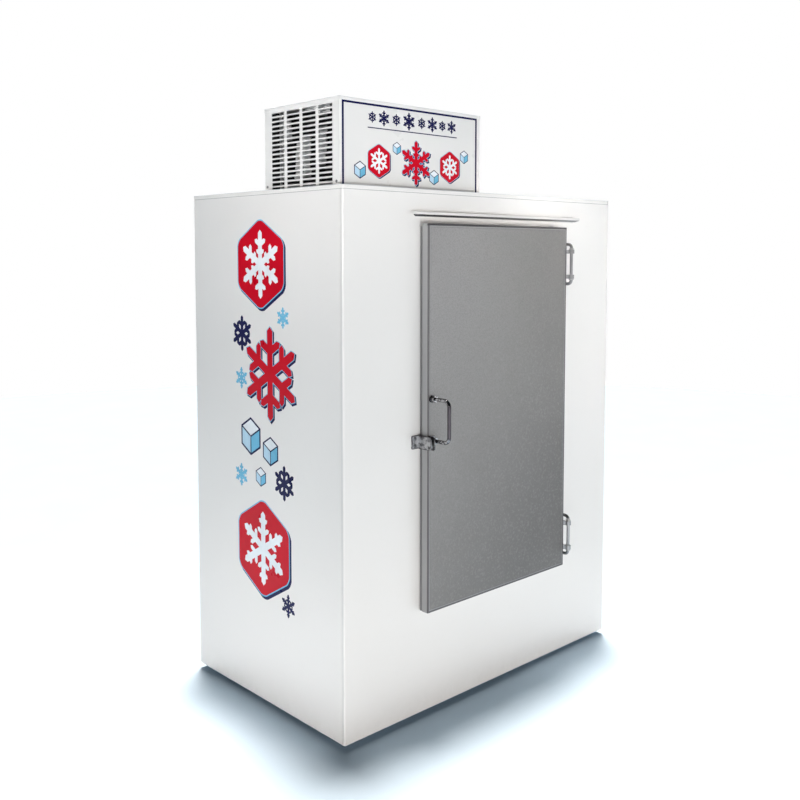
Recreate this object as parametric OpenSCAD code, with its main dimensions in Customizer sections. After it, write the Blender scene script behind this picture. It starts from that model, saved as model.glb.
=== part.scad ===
// Ice merchandiser freezer: an insulated steel cabinet on low runners, with one
// outward-swinging insulated door, two D-shaped hinges, a bent-rod pull handle, a
// padlock hasp, and a louvred box on the roof that holds the condensing unit and
// carries the header panel. Millimetres, +Z up. The cabinet's front skin faces -Y.
// X = 0 is the middle of the cabinet, Z = 0 is the floor, and Y = 0 is the middle
// of the overall depth, handle included.

/* [Cabinet] */
// Overall width across the roof cap
cab_w = 1295; // [1290:1:1320]
// Depth from the front skin to the back skin
cab_d = 796; // [790:1:820]
// Height of the insulated cabinet above its runners
cab_h = 1642; // [1636:1:1660]
// Thickness of the insulated wall, outer skin to liner face
wall_t = 76; // [72:1:78]
// Thickness of the sheet steel
skin_t = 1.2; // [1:0.1:1.5]
// Height of the runners under the cabinet
base_h = 20; // [18:1:22]
// Height of the roof cap's down-turned band
cap_band = 12; // [8:1:16]
// Outer bend radius of the two front corners
corner_r = 5; // [3:0.5:6]

/* [Door] */
// Width of the door leaf
door_w = 684; // [680:1:688]
// Height of the door leaf
door_h = 1207; // [1200:1:1210]
// Height of the leaf's bottom edge above the floor
door_z = 350; // [348:1:352]
// How far the leaf's face stands in front of the cabinet
door_face = 38; // [36:1:40]
// Depth of the compressed gasket
gasket_t = 12; // [10:1:13]
// Overlap of the leaf over the frame on each side
frame_lap = 26; // [24:1:27]
// Clearance between the leaf's plug and the frame
plug_gap = 12; // [11:1:14]
// Depth of the leaf's plug inside the opening
plug_d = 40; // [30:1:44]

/* [Hinges] */
// Distance of the hinge axis to the right of the leaf's edge
hinge_off = 15.5; // [15:0.5:17]
// Distance of the hinge axis in front of the cabinet
hinge_out = 48; // [46:1:50]
// Height of each hinge rod's loop
hinge_len = 150; // [146:1:156]
// Diameter of the hinge rod
hinge_rod_d = 11; // [10:0.5:11]
// Bottom of the lower hinge loop above the floor
hinge_low_z = 383; // [378:1:390]
// Bottom of the upper hinge loop above the floor
hinge_up_z = 1354; // [1346:1:1360]

/* [Handle and hasp] */
// Diameter of the bent handle rod
handle_rod_d = 12; // [10:1:13]
// Distance between the two handle feet
handle_cc = 129; // [120:1:134]
// Height of the lower handle foot above the floor
handle_z = 892; // [890:1:894]
// Distance of the rod's axis from the leaf's face
handle_out = 74; // [70:1:80]
// Diameter of the padlock holes
padlock_d = 9; // [8:0.5:10]

/* [Roof box] */
// Width of the louvred box
box_w = 593; // [590:1:600]
// Depth of the louvred box
box_d = 364; // [362:1:370]
// Height of the louvred box above the roof
box_h = 250; // [250:1:256]
// Length of one louvre slot
slot_l = 62; // [56:1:64]
// Height of one louvre slot
slot_h = 7; // [5:0.5:8]
// Rows of louvre slots on each side
slot_rows = 17; // [12:1:17]

/* [Refrigeration] */
// Radius of the condenser fan
cfan_r = 98; // [90:1:100]
// Radius of the evaporator fan
efan_r = 76; // [70:1:78]
// Running clearance of each shaft in its bore, on the radius
run_gap = 0.05; // [0.03:0.01:0.08]

/* [Hidden] */
$fn = 48;
handle_reach = door_face + handle_out + handle_rod_d / 2;
y_mid = (cab_d - handle_reach) / 2;
z0 = base_h;                       // underside of the cabinet
z1 = base_h + cab_h;               // roof
hw = cab_w / 2;                    // outside of the roof cap
sx = hw - skin_t;                  // outside of the side skins
ix = hw - wall_t;                  // inside faces of the liner
iy0 = wall_t;
iy1 = cab_d - wall_t;
iz0 = base_h + wall_t;
iz1 = z1 - wall_t;
g = 0.4;                           // joint between two boards of foam
return_d = 12;                     // flange of the front skin that turns back along the sides
dx = door_w / 2;
dz1 = door_z + door_h;
ox = dx - frame_lap;               // clear opening, half width
oz0 = door_z + frame_lap;
oz1 = dz1 - frame_lap;
strip_t = 3;
fx = ox + strip_t;                 // hole cut in the front skin
fz0 = oz0 - strip_t;
fz1 = oz1 + strip_t;
px = ox - plug_gap;                // plug of the leaf
pz0 = oz0 + plug_gap;
pz1 = oz1 - plug_gap;
hx = dx + hinge_off;               // hinge axis
hy = -hinge_out;
hr = hinge_rod_d / 2;
hbend = 14;                        // bend of the hinge rod
hhr = handle_rod_d / 2;
handle_x = -325.5;
bx0 = -hw + 10;                    // roof box, left outside face
bx1 = bx0 + box_w;
by0 = 24;
by1 = by0 + box_d;
bz1 = z1 + box_h;
lock_y = -50;                      // padlock hole axis
lock_z = 886;                      // middle of the hasp plates
lock_hz = 874;                     // padlock hole, below the handle foot
drain_x = -300;
drain_z = iz0 + 18;
sleeve = [-468, 362];              // refrigerant lines through the roof
comp = [-190, 215];                // compressor axis
cf = [-540, 205, z1 + 123];        // condenser fan centre
ef = [-300, 345, iz1 - 95];        // evaporator fan centre
eh = [-520, 335, 440, 320];        // evaporator housing: left, front, width, depth
ehz = iz1 - 190;
ctl = [-140, z1 + 118];            // control plate centre, on the back of the box
gland = [-250, z1 + 40];
suct = [sleeve[0] - 8, sleeve[1]];
liq = [sleeve[0] + 10, sleeve[1]];

// ---------- helpers ----------
module at() translate([0, -y_mid, 0]) children();
// box from two opposite corners
module bx(a, b) translate(a) cube([b[0] - a[0], b[1] - a[1], b[2] - a[2]]);
// cylinders along the axes, from a start point
module cylx(p, r, h) translate(p) rotate([0, 90, 0]) cylinder(r = r, h = h);
module cyly(p, r, h) translate(p) rotate([-90, 0, 0]) cylinder(r = r, h = h);
module cylz(p, r, h) translate(p) cylinder(r = r, h = h);
// outline with rounded corners, as a polygon with n steps a corner
function rrect(w, h, r, n = 5) = [for (c = [0 : 3], i = [0 : n])
  let (a = 90 * c + 90 * i / n, qx = (c == 0 || c == 3) ? 1 : -1, qy = (c < 2) ? 1 : -1)
  [qx * (w / 2 - r) + r * cos(a), qy * (h / 2 - r) + r * sin(a)]];
// outline in XY of a tray with bent front corners: half width w, bend r, depth d
function bend(w, r, s, n = 8) = [for (i = [0 : n]) let (a = s > 0 ? 90 * i / n : 90 - 90 * i / n)
  [s * (w - r + r * sin(a)), r - r * cos(a)]];
function front_outline(w, r, d) = concat(bend(w, r, -1), bend(w, r, 1), [[w, d], [-w, d]]);
// upright plates in XZ and YZ with rounded corners, given by centre
module plate_xz(c, w, h, t, r) translate([c[0], c[1] + t, c[2]]) rotate([90, 0, 0])
  linear_extrude(t) polygon(rrect(w, h, r));
module plate_yz(c, w, h, t, r) translate(c) rotate([90, 0, 90])
  linear_extrude(t) polygon(rrect(w, h, r));
// a round tube along corners joined by right-angled bends
function unit(v) = v / norm(v);
module elbow(p, a, b, br, r) {
  c = p - br * a + br * b;
  x = -b; y = a; z = cross(x, y);
  multmatrix([[x[0], y[0], z[0], c[0]], [x[1], y[1], z[1], c[1]], [x[2], y[2], z[2], c[2]], [0, 0, 0, 1]])
    rotate_extrude(angle = 90, $fn = 32) translate([br, 0]) circle(r = r, $fn = 24);
}
module rod(p, q, r) {
  d = unit(q - p);
  x = abs(d[2]) > 0.5 ? [1, 0, 0] : [0, 0, 1];
  y = cross(d, x);
  multmatrix([[x[0], y[0], d[0], p[0]], [x[1], y[1], d[1], p[1]], [x[2], y[2], d[2], p[2]], [0, 0, 0, 1]])
    cylinder(r = r, h = norm(q - p), $fn = 24);
}
module pipe(pts, br, r) {
  n = len(pts);
  for (i = [0 : n - 2]) {
    d = unit(pts[i + 1] - pts[i]);
    rod(pts[i] + (i == 0 ? 0 : br) * d, pts[i + 1] - (i == n - 2 ? 0 : br) * d, r);
  }
  for (i = [1 : n - 2]) elbow(pts[i], unit(pts[i] - pts[i - 1]), unit(pts[i + 1] - pts[i]), br, r);
}
// pan-head screw whose head sits on a face that looks to -Y, with its shank behind it
module screw_y(p, r, h, sr, sl) { cyly([p[0], p[1] - h, p[2]], r, h); cyly(p, sr, sl); }
// fan wheel about Z: hub, tilted blades, shaft bore
module fan_wheel(r, hub_r, hub_h, bore_r, n, tilt) difference() {
  union() {
    cylinder(r = hub_r, h = hub_h);
    intersection() {
      for (i = [0 : n - 1]) rotate([0, 0, i * 360 / n]) translate([hub_r - 4, 0, hub_h / 2])
        rotate([tilt, 0, 0]) linear_extrude(1.6, center = true)
          polygon([[0, -13], [0, 13], [30, 26], [r, 40], [r, -34], [34, -24]]);
      translate([0, 0, -30]) cylinder(r = r, h = 60 + hub_h, $fn = 72);
    }
  }
  translate([0, 0, -1]) cylinder(r = bore_r, h = hub_h + 2);
}
// louvred sheet in XY: w along X, h along Y, slots in columns and rows
module louvres(w, h, cols, first, pitch, top, n) difference() {
  square([w, h]);
  for (c = [0 : cols - 1], k = [0 : n - 1]) translate([first + c * pitch, top - 14.1 * k])
    polygon([[2.2, -slot_h / 2], [slot_l - 2.2, -slot_h / 2], [slot_l, -slot_h / 2 + 2.2],
      [slot_l, slot_h / 2 - 2.2], [slot_l - 2.2, slot_h / 2], [2.2, slot_h / 2],
      [0, slot_h / 2 - 2.2], [0, -slot_h / 2 + 2.2]]);
}

// ---------- cabinet ----------
module base_runners() at() color("dimgray") {
  bx([-sx + 70, 80, 0], [sx - 70, 140, z0]);
  bx([-sx + 70, cab_d - 140, 0], [sx - 70, cab_d - 80, z0]);
}
module base_panel() at() color("lightgray") translate([0, skin_t, z0]) linear_extrude(skin_t)
  polygon(front_outline(sx - skin_t, corner_r - skin_t, cab_d - 2 * skin_t));
module left_side_panel() at() color("white")
  bx([-sx, return_d + g, z0], [-sx + skin_t, cab_d - skin_t, z1 - skin_t]);
module right_side_panel() at() color("white")
  bx([sx - skin_t, return_d + g, z0], [sx, cab_d - skin_t, z1 - skin_t]);
module back_panel() at() color("gainsboro") difference() {
  bx([-sx, cab_d - skin_t, z0], [sx, cab_d, z1 - skin_t]);
  cyly([drain_x, cab_d - 5, drain_z], 14, 10);
}
// front skin with rounded corners and a narrow flange back along each side
module front_panel() at() color("white") difference() {
  translate([0, 0, z0]) linear_extrude(cab_h - skin_t) polygon(front_outline(sx, corner_r, return_d));
  translate([0, skin_t, z0 - 1]) linear_extrude(cab_h + 2)
    polygon(front_outline(sx - skin_t, corner_r - skin_t, return_d));
  bx([-fx, -5, fz0], [fx, 5, fz1]);
}
module roof_cap() at() color("white") difference() {
  translate([0, -skin_t, z1 - cap_band]) linear_extrude(cap_band)
    polygon(front_outline(hw, corner_r + skin_t, cab_d + skin_t));
  translate([0, 0, z1 - cap_band - 1]) linear_extrude(cap_band + 1 - skin_t)
    polygon(front_outline(sx, corner_r, cab_d + 10));
  cylz([sleeve[0], sleeve[1], z1 - 5], 24, 10);
}
module cabinet_insulation() at() color("khaki") {
  fo = sx - skin_t; fi = ix + skin_t;
  for (s = [-1, 1]) difference() {
    bx([min(s * fo, s * fi), skin_t, z0 + skin_t], [max(s * fo, s * fi), cab_d - skin_t, z1 - skin_t]);
    translate([s * fo, 0, z0]) cube([2 * corner_r - 2 * skin_t + 0.2, 2 * corner_r + 0.2, 2 * cab_h], center = true);
  }
  difference() {
    bx([-fi + g, iy1 + skin_t, z0 + skin_t], [fi - g, cab_d - skin_t, z1 - skin_t]);
    cyly([drain_x, iy1 - 5, drain_z], 14, wall_t + 10);
  }
  bx([-fi + g, skin_t, z0 + skin_t], [fi - g, iy1 + skin_t - g, iz0 - skin_t]);
  difference() {
    bx([-fi + g, skin_t, iz1 + skin_t], [fi - g, iy1 + skin_t - g, z1 - skin_t]);
    cylz([sleeve[0], sleeve[1], iz1 - 5], 24, wall_t + 10);
  }
  for (s = [-1, 1]) bx([min(s * fx, s * (fi - g)), skin_t, iz0 - skin_t + g], [max(s * fx, s * (fi - g)), iy0 - skin_t, iz1 + skin_t - g]);
  bx([-fx + g, skin_t, iz0 - skin_t + g], [fx - g, iy0 - skin_t, fz0]);
  bx([-fx + g, skin_t, fz1], [fx - g, iy0 - skin_t, iz1 + skin_t - g]);
}
module inner_liner() at() color("whitesmoke") difference() {
  bx([-ix - skin_t, iy0 - skin_t, iz0 - skin_t], [ix + skin_t, iy1 + skin_t, iz1 + skin_t]);
  bx([-ix, iy0, iz0], [ix, iy1, iz1]);
  bx([-fx, iy0 - 5, fz0], [fx, iy0 + 5, fz1]);
  cyly([drain_x, iy1 - 5, drain_z], 14, 10);
  cylz([sleeve[0], sleeve[1], iz1 - 5], 24, 10);
}
module door_frame_strips() at() color("white") {
  for (s = [-1, 1]) bx([min(s * ox, s * fx), 0, fz0], [max(s * ox, s * fx), iy0, fz1]);
  bx([-ox + 0.3, 0, fz0], [ox - 0.3, iy0, oz0]);
  bx([-ox + 0.3, 0, oz1], [ox - 0.3, iy0, fz1]);
}
// rain gutter over the door: a flange on the cabinet and a lip turned out and up, with mitred ends
module drip_rail() at() color("white") intersection() {
  translate([-460, 0, 0]) rotate([90, 0, 90]) linear_extrude(940)
    polygon([[0, dz1 + 18], [0, dz1 + 38], [-1.5, dz1 + 38], [-1.5, dz1 + 22.5], [-10.5, dz1 + 29],
      [-10.5, dz1 + 36], [-12, dz1 + 36], [-12, dz1 + 28], [-1.5, dz1 + 20.5], [-1.5, dz1 + 18]]);
  translate([0, 0, dz1]) linear_extrude(60)
    polygon([[-dx - 18, 0], [dx + 80, 0], [dx + 112, -13], [-dx - 42, -13]]);
}
// two racks of slats that keep the bags off the floor
module floor_racks() at() color("silver") for (s = [-1, 1]) translate([s * ix / 2, 0, iz0]) {
  for (x = [-250, 0, 250]) bx([x - 8, 92, 0], [x + 8, 688, 16]);
  for (y = [92 : 37 : 680]) bx([-ix / 2 + 8, y, 16], [ix / 2 - 8, y + 22, 25]);
}
module floor_drain() at() color("gray") difference() {
  union() {
    cyly([drain_x, iy1, drain_z], 14, wall_t);
    cyly([drain_x, iy1 - 3, drain_z], 17.5, 3);
  }
  cyly([drain_x, iy1 - 10, drain_z], 10, wall_t + 20);
}
// one hinge loop: a back plate and a rod bent to a D, whose straight part is the hinge axis
module hinge_loop(z) {
  difference() {
    bx([hx - 9.5, -4, z - 14], [hx + 9.5, 0, z + hinge_len + 14]);
    for (k = [-7, 30, hinge_len - 30, hinge_len + 7]) cyly([hx, -5, z + k], 2.6, 6);
  }
  pipe([[hx, -4, z + hr], [hx, hy, z + hr], [hx, hy, z + hinge_len - hr], [hx, -4, z + hinge_len - hr]], hbend, hr);
}
module hinge_loops() at() color("silver") for (z = [hinge_low_z, hinge_up_z]) hinge_loop(z);
module hinge_collars() at() color("gray") for (z = [hinge_low_z, hinge_up_z], k = [hr + hbend, hinge_len - hr - hbend - 4])
  difference() { cylz([hx, hy, z + k], 8.5, 4); cylz([hx, hy, z + k - 1], hr, 6); }
module hinge_screws() at() color("silver") for (z = [hinge_low_z, hinge_up_z], k = [-7, 30, hinge_len - 30, hinge_len + 7])
  screw_y([hx, -4, z + k], 4.6, 2.6, 2.6, 4);
// cabinet half of the hasp: a flange with two screws and a leg with the padlock hole
module strike_bracket() at() color("silver") difference() {
  union() {
    plate_xz([-362.5, -3, lock_z], 30, 42, 3, 5);
    intersection() {
      plate_yz([-350.5, -30, lock_z], 60, 42, 3, 8);
      bx([-352, -70, lock_z - 30], [-340, 0, lock_z + 30]);
    }
    bx([-360, -3, lock_z - 21], [-347.5, 0, lock_z + 21]);
    bx([-350.5, -14, lock_z - 21], [-347.5, 0, lock_z + 21]);
  }
  cylx([-355, lock_y, lock_hz], padlock_d / 2, 12);
  for (s = [-1, 1]) cyly([-364, -5, lock_z + 11 * s], 2.6, 8);
}
module strike_screws() at() color("silver") for (s = [-1, 1]) screw_y([-364, -3, lock_z + 11 * s], 4.8, 3, 2.6, 3);

// ---------- roof box ----------
module header_panel() at() color("whitesmoke")
  bx([bx0 + skin_t, by0 + skin_t, z1], [bx1 - skin_t, by0 + skin_t + 2, bz1 - skin_t]);
module box_side(x) at() color("white") translate([x, by0 + skin_t + 2, z1]) rotate([90, 0, 90])
  linear_extrude(skin_t) louvres(box_d - 2 * skin_t - 2, box_h - skin_t, 4, 57 - by0 - skin_t - 2, 77.3, 228, slot_rows);
module box_left_panel() box_side(bx0 + skin_t);
module box_right_panel() box_side(bx1 - 2 * skin_t);
module box_back_panel() at() color("white") difference() {
  translate([bx1 - skin_t, by1 - skin_t, z1]) rotate([90, 0, 180])
    linear_extrude(skin_t) louvres(box_w - 2 * skin_t, box_h - skin_t, 3, 240, 100, 205, 11);
  bx([ctl[0] - 40, by1 - 5, ctl[1] - 50], [ctl[0] + 40, by1 + 5, ctl[1] + 50]);
  cyly([gland[0], by1 - 5, gland[1]], 8, 10);
}
module box_top() at() color("white") {
  bx([bx0, by0, bz1 - skin_t], [bx1, by1 + skin_t, bz1]);
  bx([bx0, by0, bz1 - 10], [bx1, by0 + skin_t, bz1]);
  bx([bx0, by0, bz1 - 10], [bx0 + skin_t, by1 + skin_t, bz1]);
  bx([bx1 - skin_t, by0, bz1 - 10], [bx1, by1 + skin_t, bz1]);
}
module box_screws() at() color("silver") {
  for (x = [bx0 + 40, bx0 + box_w / 2, bx1 - 40]) translate([x, by1, z1 + 9]) rotate([-90, 0, 0]) cylinder(r = 4.2, h = 2.2);
  for (y = [by0 + 14, by1 - 12], s = [0, 1]) translate([s == 0 ? bx0 + skin_t : bx1 - skin_t, y, z1 + 10])
    rotate([0, s == 0 ? -90 : 90, 0]) cylinder(r = 4.2, h = 2.2);
}

// ---------- condensing unit ----------
module unit_base() at() color("gray") difference() {
  bx([bx0 + 17, 40, z1], [bx1 - 26, 372, z1 + 3]);
  cylz([sleeve[0], sleeve[1], z1 - 1], 24, 8);
}
module compressor() at() color("black") {
  cz = z1 + 18;
  difference() {
    translate([comp[0], comp[1], cz]) linear_extrude(3) polygon(rrect(170, 140, 14));
    for (s = [-1, 1], t = [-1, 1]) cylz([comp[0] + 68 * s, comp[1] + 54 * t, cz - 1], 4, 6);
  }
  translate([comp[0], comp[1], cz + 3]) intersection() {
    cylinder(r = 70, h = 170, $fn = 72);
    translate([0, 0, 66]) sphere(r = 100, $fn = 72);
  }
  cylz([comp[0], comp[1], cz + 60], 73, 5);
  cylx([comp[0] - 86, comp[1], z1 + 128], 8, 40);
  cyly([comp[0], comp[1] - 84, z1 + 98], 6, 40);
}
module compressor_grommets() at() color("black") for (s = [-1, 1], t = [-1, 1]) {
  cylz([comp[0] + 68 * s, comp[1] + 54 * t, z1 + 3], 11, 15);
  cylz([comp[0] + 68 * s, comp[1] + 54 * t, z1 + 18], 4, 3);
  cylz([comp[0] + 68 * s, comp[1] + 54 * t, z1 + 21], 8, 4);
}
module terminal_cover() at() color("black")
  bx([comp[0] + 73.3, comp[1] - 26, z1 + 72], [comp[0] + 94, comp[1] + 26, z1 + 130]);
module condenser_coil() at() color("silver") {
  bx([-606, 66, z1 + 8], [-566, 344, z1 + 234]);
  for (y = [64.5, 344]) bx([-608, y, z1 + 4], [-564, y + 1.5, z1 + 238]);
  for (s = [0, 1], k = [0 : 4]) translate([-586, s == 0 ? 64.5 : 345.5, z1 + 30 + 44 * k])
    rotate([0, 0, s == 0 ? 180 : 0]) rotate([90, 0, 90]) rotate_extrude(angle = 180, $fn = 32)
      translate([11, 0]) circle(r = 3.8, $fn = 20);
  bx([-606, 60, z1 + 3], [-566, 350, z1 + 8]);
  for (z = [z1 + 28, z1 + 208]) { cyly([-572, 52, z], 4, 13); cylx([-572, 56, z], 4, 16); }
}
module condenser_fan_shroud() at() color("gray") difference() {
  union() {
    bx([-562, 68, z1 + 3], [-560.5, 342, z1 + 236]);
    cylx([-560.5, cf[1], cf[2]], cfan_r + 10, 30);
  }
  cylx([-570, cf[1], cf[2]], cfan_r + 8.5, 60);
}
module condenser_fan_motor() at() color("black") {
  cylx([-518, cf[1], cf[2]], 40, 66);
  cylx([-549, cf[1], cf[2]], 4, 32);
  bx([-486, cf[1] - 24, z1 + 3], [-483, cf[1] + 24, cf[2] - 30]);
  bx([-500, cf[1] - 24, z1 + 3], [-450, cf[1] + 24, z1 + 6]);
}
module condenser_fan() at() color("lightgray") translate([-548, cf[1], cf[2]]) rotate([0, 90, 0])
  fan_wheel(cfan_r, 20, 22, 4 + run_gap, 5, 24);
module filter_drier() at() color("peru") {
  cyly([-400, 112, z1 + 28], 11, 84);
  cyly([-400, 104, z1 + 28], 4, 100);
}
module refrigerant_lines() at() color("peru") {
  pipe([[comp[0] - 86, comp[1], z1 + 128], [-330, comp[1], z1 + 128], [-330, sleeve[1], z1 + 128],
    [suct[0], sleeve[1], z1 + 128], [suct[0], sleeve[1], iz1 - 30], [suct[0], 520, iz1 - 30]], 12, 6);
  pipe([[-400, 204, z1 + 28], [-400, liq[1], z1 + 28], [liq[0], liq[1], z1 + 28],
    [liq[0], liq[1], iz1 - 60], [liq[0], 520, iz1 - 60]], 10, 3.2);
  pipe([[comp[0], comp[1] - 84, z1 + 98], [comp[0], 56, z1 + 98], [comp[0], 56, z1 + 208], [-556, 56, z1 + 208]], 10, 4);
  pipe([[-556, 56, z1 + 28], [-400, 56, z1 + 28], [-400, 104, z1 + 28]], 10, 4);
}
module line_sleeve() at() color("black") difference() {
  union() { cylz([sleeve[0], sleeve[1], iz1], 24, wall_t + 6); cylz([sleeve[0], sleeve[1], iz1 - 2], 25, 2); }
  cylz([sleeve[0], sleeve[1], iz1 - 5], 21, wall_t + 20);
}

// ---------- controls on the back of the box ----------
module control_box() at() color("gray") difference() {
  bx([ctl[0] - 48, by1 - skin_t - 62, ctl[1] - 58], [ctl[0] + 48, by1 - skin_t, ctl[1] + 58]);
  bx([ctl[0] - 46.5, by1 - skin_t - 60.5, ctl[1] - 56.5], [ctl[0] + 46.5, by1, ctl[1] + 56.5]);
}
module control_plate() at() color("lightgray") difference() {
  plate_xz([ctl[0], by1, ctl[1]], 104, 124, 2, 6);
  cyly([ctl[0], by1 - 2, ctl[1] + 26], 5, 8);
  bx([ctl[0] - 11, by1 - 3, ctl[1] - 42], [ctl[0] + 11, by1 + 5, ctl[1] - 12]);
}
module thermostat_body() at() color("dimgray") {
  bx([ctl[0] - 20, by1 - 38, ctl[1] + 8], [ctl[0] + 20, by1, ctl[1] + 44]);
  cyly([ctl[0], by1 - 1, ctl[1] + 26], 3, 16);
}
module thermostat_knob() at() color("black") difference() {
  union() {
    cyly([ctl[0], by1 + 3, ctl[1] + 26], 19, 3);
    cyly([ctl[0], by1 + 5, ctl[1] + 26], 15, 13);
    bx([ctl[0] - 1.5, by1 + 12, ctl[1] + 27], [ctl[0] + 1.5, by1 + 19, ctl[1] + 40]);
  }
  cyly([ctl[0], by1 + 2, ctl[1] + 26], 3 + run_gap, 13.5);
}
module power_switch_body() at() color("black") difference() {
  union() {
    plate_xz([ctl[0], by1 + 2, ctl[1] - 27], 30, 38, 2, 3);
    bx([ctl[0] - 11, by1 - 24, ctl[1] - 42], [ctl[0] + 11, by1 + 3, ctl[1] - 12]);
  }
  bx([ctl[0] - 10, by1 - 12, ctl[1] - 41], [ctl[0] + 10, by1 + 6, ctl[1] - 13]);
  cylx([ctl[0] - 12, by1, ctl[1] - 27], 1.5 + run_gap, 24);
}
module power_switch_rocker() at() color("green") translate([ctl[0], by1, ctl[1] - 27]) rotate([8, 0, 0]) {
  translate([-9.6, 0, 0]) rotate([90, 0, 90]) linear_extrude(19.2)
    polygon([[-3, -8], [4, -12.6], [7, -12.2], [4.6, 0], [7, 12.2], [4, 12.6], [-3, 8]]);
  cylx([-10.8, 0, 0], 1.5, 21.6);
}
module cord_gland() at() color("black") difference() {
  union() {
    cyly([gland[0], by1 - 14, gland[1]], 8, 16);
    cyly([gland[0], by1, gland[1]], 13, 8);
    cyly([gland[0], by1 + 8, gland[1]], 10, 12);
    translate([gland[0], by1 - skin_t, gland[1]]) rotate([90, 0, 0]) cylinder(r = 13, h = 6, $fn = 6);
  }
  cyly([gland[0], by1 - 20, gland[1]], 5, 50);
}

// ---------- evaporator, under the cabinet ceiling ----------
module evaporator_housing() at() color("gainsboro") difference() {
  bx([eh[0], eh[1], ehz], [eh[0] + eh[2], eh[1] + eh[3], iz1]);
  bx([eh[0] + 1.2, eh[1] + 1.2, ehz - 1], [eh[0] + eh[2] - 1.2, eh[1] + eh[3] + 1, iz1 + 1]);
  cyly([ef[0], eh[1] - 5, ef[2]], efan_r + 8, 12);
}
module evaporator_coil() at() color("silver") {
  bx([eh[0] + 24, 560, ehz + 18], [eh[0] + eh[2] - 24, 620, iz1 - 12]);
  for (x = [eh[0] + 22, eh[0] + eh[2] - 24]) bx([x, 556, ehz + 8], [x + 2, 624, iz1]);
  for (k = [0 : 3]) translate([eh[0] + 22, 590, ehz + 46 + 34 * k]) rotate([90, 0, 0]) rotate([0, 0, 90])
    rotate_extrude(angle = 180, $fn = 32) translate([8.5, 0]) circle(r = 4, $fn = 20);
  cyly([suct[0], 520, iz1 - 30], 6, 41);
  cyly([liq[0], 520, iz1 - 60], 3.2, 41);
}
module evaporator_fan_motor() at() color("black") {
  cyly([ef[0], ef[1] + 42, ef[2]], 36, 56);
  cyly([ef[0], ef[1] + 11, ef[2]], 4, 32);
  bx([eh[0] + 1.2, ef[1] + 98, ef[2] - 14], [eh[0] + eh[2] - 1.2, ef[1] + 101, ef[2] + 14]);
}
module evaporator_fan() at() color("lightgray") translate([ef[0], ef[1] + 12, ef[2]]) rotate([-90, 0, 0])
  fan_wheel(efan_r, 20, 20, 4 + run_gap, 5, 20);
module evaporator_fan_guard() at() color("silver") translate([ef[0], eh[1], ef[2]]) rotate([90, 0, 0]) {
  for (r = [30, 50, 70]) translate([0, 0, 12]) rotate_extrude($fn = 48) translate([r, 0]) circle(r = 1.3, $fn = 16);
  for (a = [45 : 90 : 315]) rotate([0, 0, a]) {
    translate([12, 0, 12]) rotate([0, 90, 0]) cylinder(r = 1.7, h = efan_r, $fn = 16);
    translate([efan_r + 12, 0, 0]) cylinder(r = 2.2, h = 14.6, $fn = 16);
  }
  translate([0, 0, 10]) cylinder(r = 17, h = 4);
}
module evaporator_drip_pan() at() color("gainsboro") difference() {
  bx([eh[0] - 3, eh[1] - 3, ehz - 14], [eh[0] + eh[2] + 3, eh[1] + eh[3] + 3, ehz]);
  bx([eh[0] - 1.8, eh[1] - 1.8, ehz - 12.8], [eh[0] + eh[2] + 1.8, eh[1] + eh[3] + 1.8, ehz + 1]);
  cylz([drain_x, 640, ehz - 20], 6.5, 20);
}
module evaporator_drain_tube() at() color("lightgray") difference() {
  pipe([[drain_x, 640, ehz - 14], [drain_x, 640, ehz - 40], [drain_x, iy1 - 14, ehz - 40], [drain_x, iy1 - 14, drain_z + 22]], 12, 8);
  pipe([[drain_x, 640, ehz - 13], [drain_x, 640, ehz - 40], [drain_x, iy1 - 14, ehz - 40], [drain_x, iy1 - 14, drain_z + 21]], 12, 6.5);
}

// ---------- door ----------
module door_outer_pan() at() color("gray") difference() {
  bx([-dx, -door_face, door_z], [dx, -gasket_t, dz1]);
  bx([-dx + skin_t, -door_face + skin_t, door_z + skin_t], [dx - skin_t, 0, dz1 - skin_t]);
}
module door_insulation() at() color("khaki") {
  bx([-dx + skin_t, -door_face + skin_t, door_z + skin_t], [dx - skin_t, -gasket_t - skin_t, dz1 - skin_t]);
  bx([-px + skin_t, -gasket_t - skin_t + g, pz0 + skin_t], [px - skin_t, plug_d - skin_t, pz1 - skin_t]);
}
module door_inner_pan() at() color("whitesmoke") difference() {
  union() {
    bx([-dx + skin_t, -gasket_t - skin_t, door_z + skin_t], [dx - skin_t, -gasket_t, dz1 - skin_t]);
    bx([-px, -gasket_t - skin_t, pz0], [px, plug_d, pz1]);
  }
  bx([-px + skin_t, -gasket_t - 5, pz0 + skin_t], [px - skin_t, plug_d - skin_t, pz1 - skin_t]);
}
// bulb gasket in four lengths, set a little below the leaf's top edge
module gasket_len(l) rotate([90, 0, 90]) linear_extrude(l)
  polygon([[-gasket_t, 0], [-gasket_t, 26], [-gasket_t + 3, 26], [-gasket_t + 4.2, 24], [-gasket_t + 5.4, 26],
    [-0.3, 26], [-0.3, 4], [-gasket_t + 5.4, 2], [-gasket_t + 4.2, 4], [-gasket_t + 3, 0]]);
module door_gasket() at() color("dimgray") {
  gt = dz1 - 8; gb = door_z + 1; gx = dx - 1;
  translate([-gx, 0, gt - 26]) gasket_len(2 * gx);
  translate([gx, 0, gb + 26]) rotate([0, 180, 0]) gasket_len(2 * gx);
  translate([-gx + 26, 0, gb + 26.2]) rotate([0, -90, 0]) gasket_len(gt - gb - 52.4);
  translate([gx - 26, 0, gt - 26.2]) rotate([0, 90, 0]) gasket_len(gt - gb - 52.4);
}
module door_handle() at() color("silver") {
  ya = -door_face - 3;
  pipe([[handle_x, ya, handle_z], [handle_x, -door_face - handle_out, handle_z],
    [handle_x, -door_face - handle_out, handle_z + handle_cc], [handle_x, ya, handle_z + handle_cc]], 20, hhr);
  for (z = [handle_z, handle_z + handle_cc]) cyly([handle_x, ya - 14, z], 10, 14);
}
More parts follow.
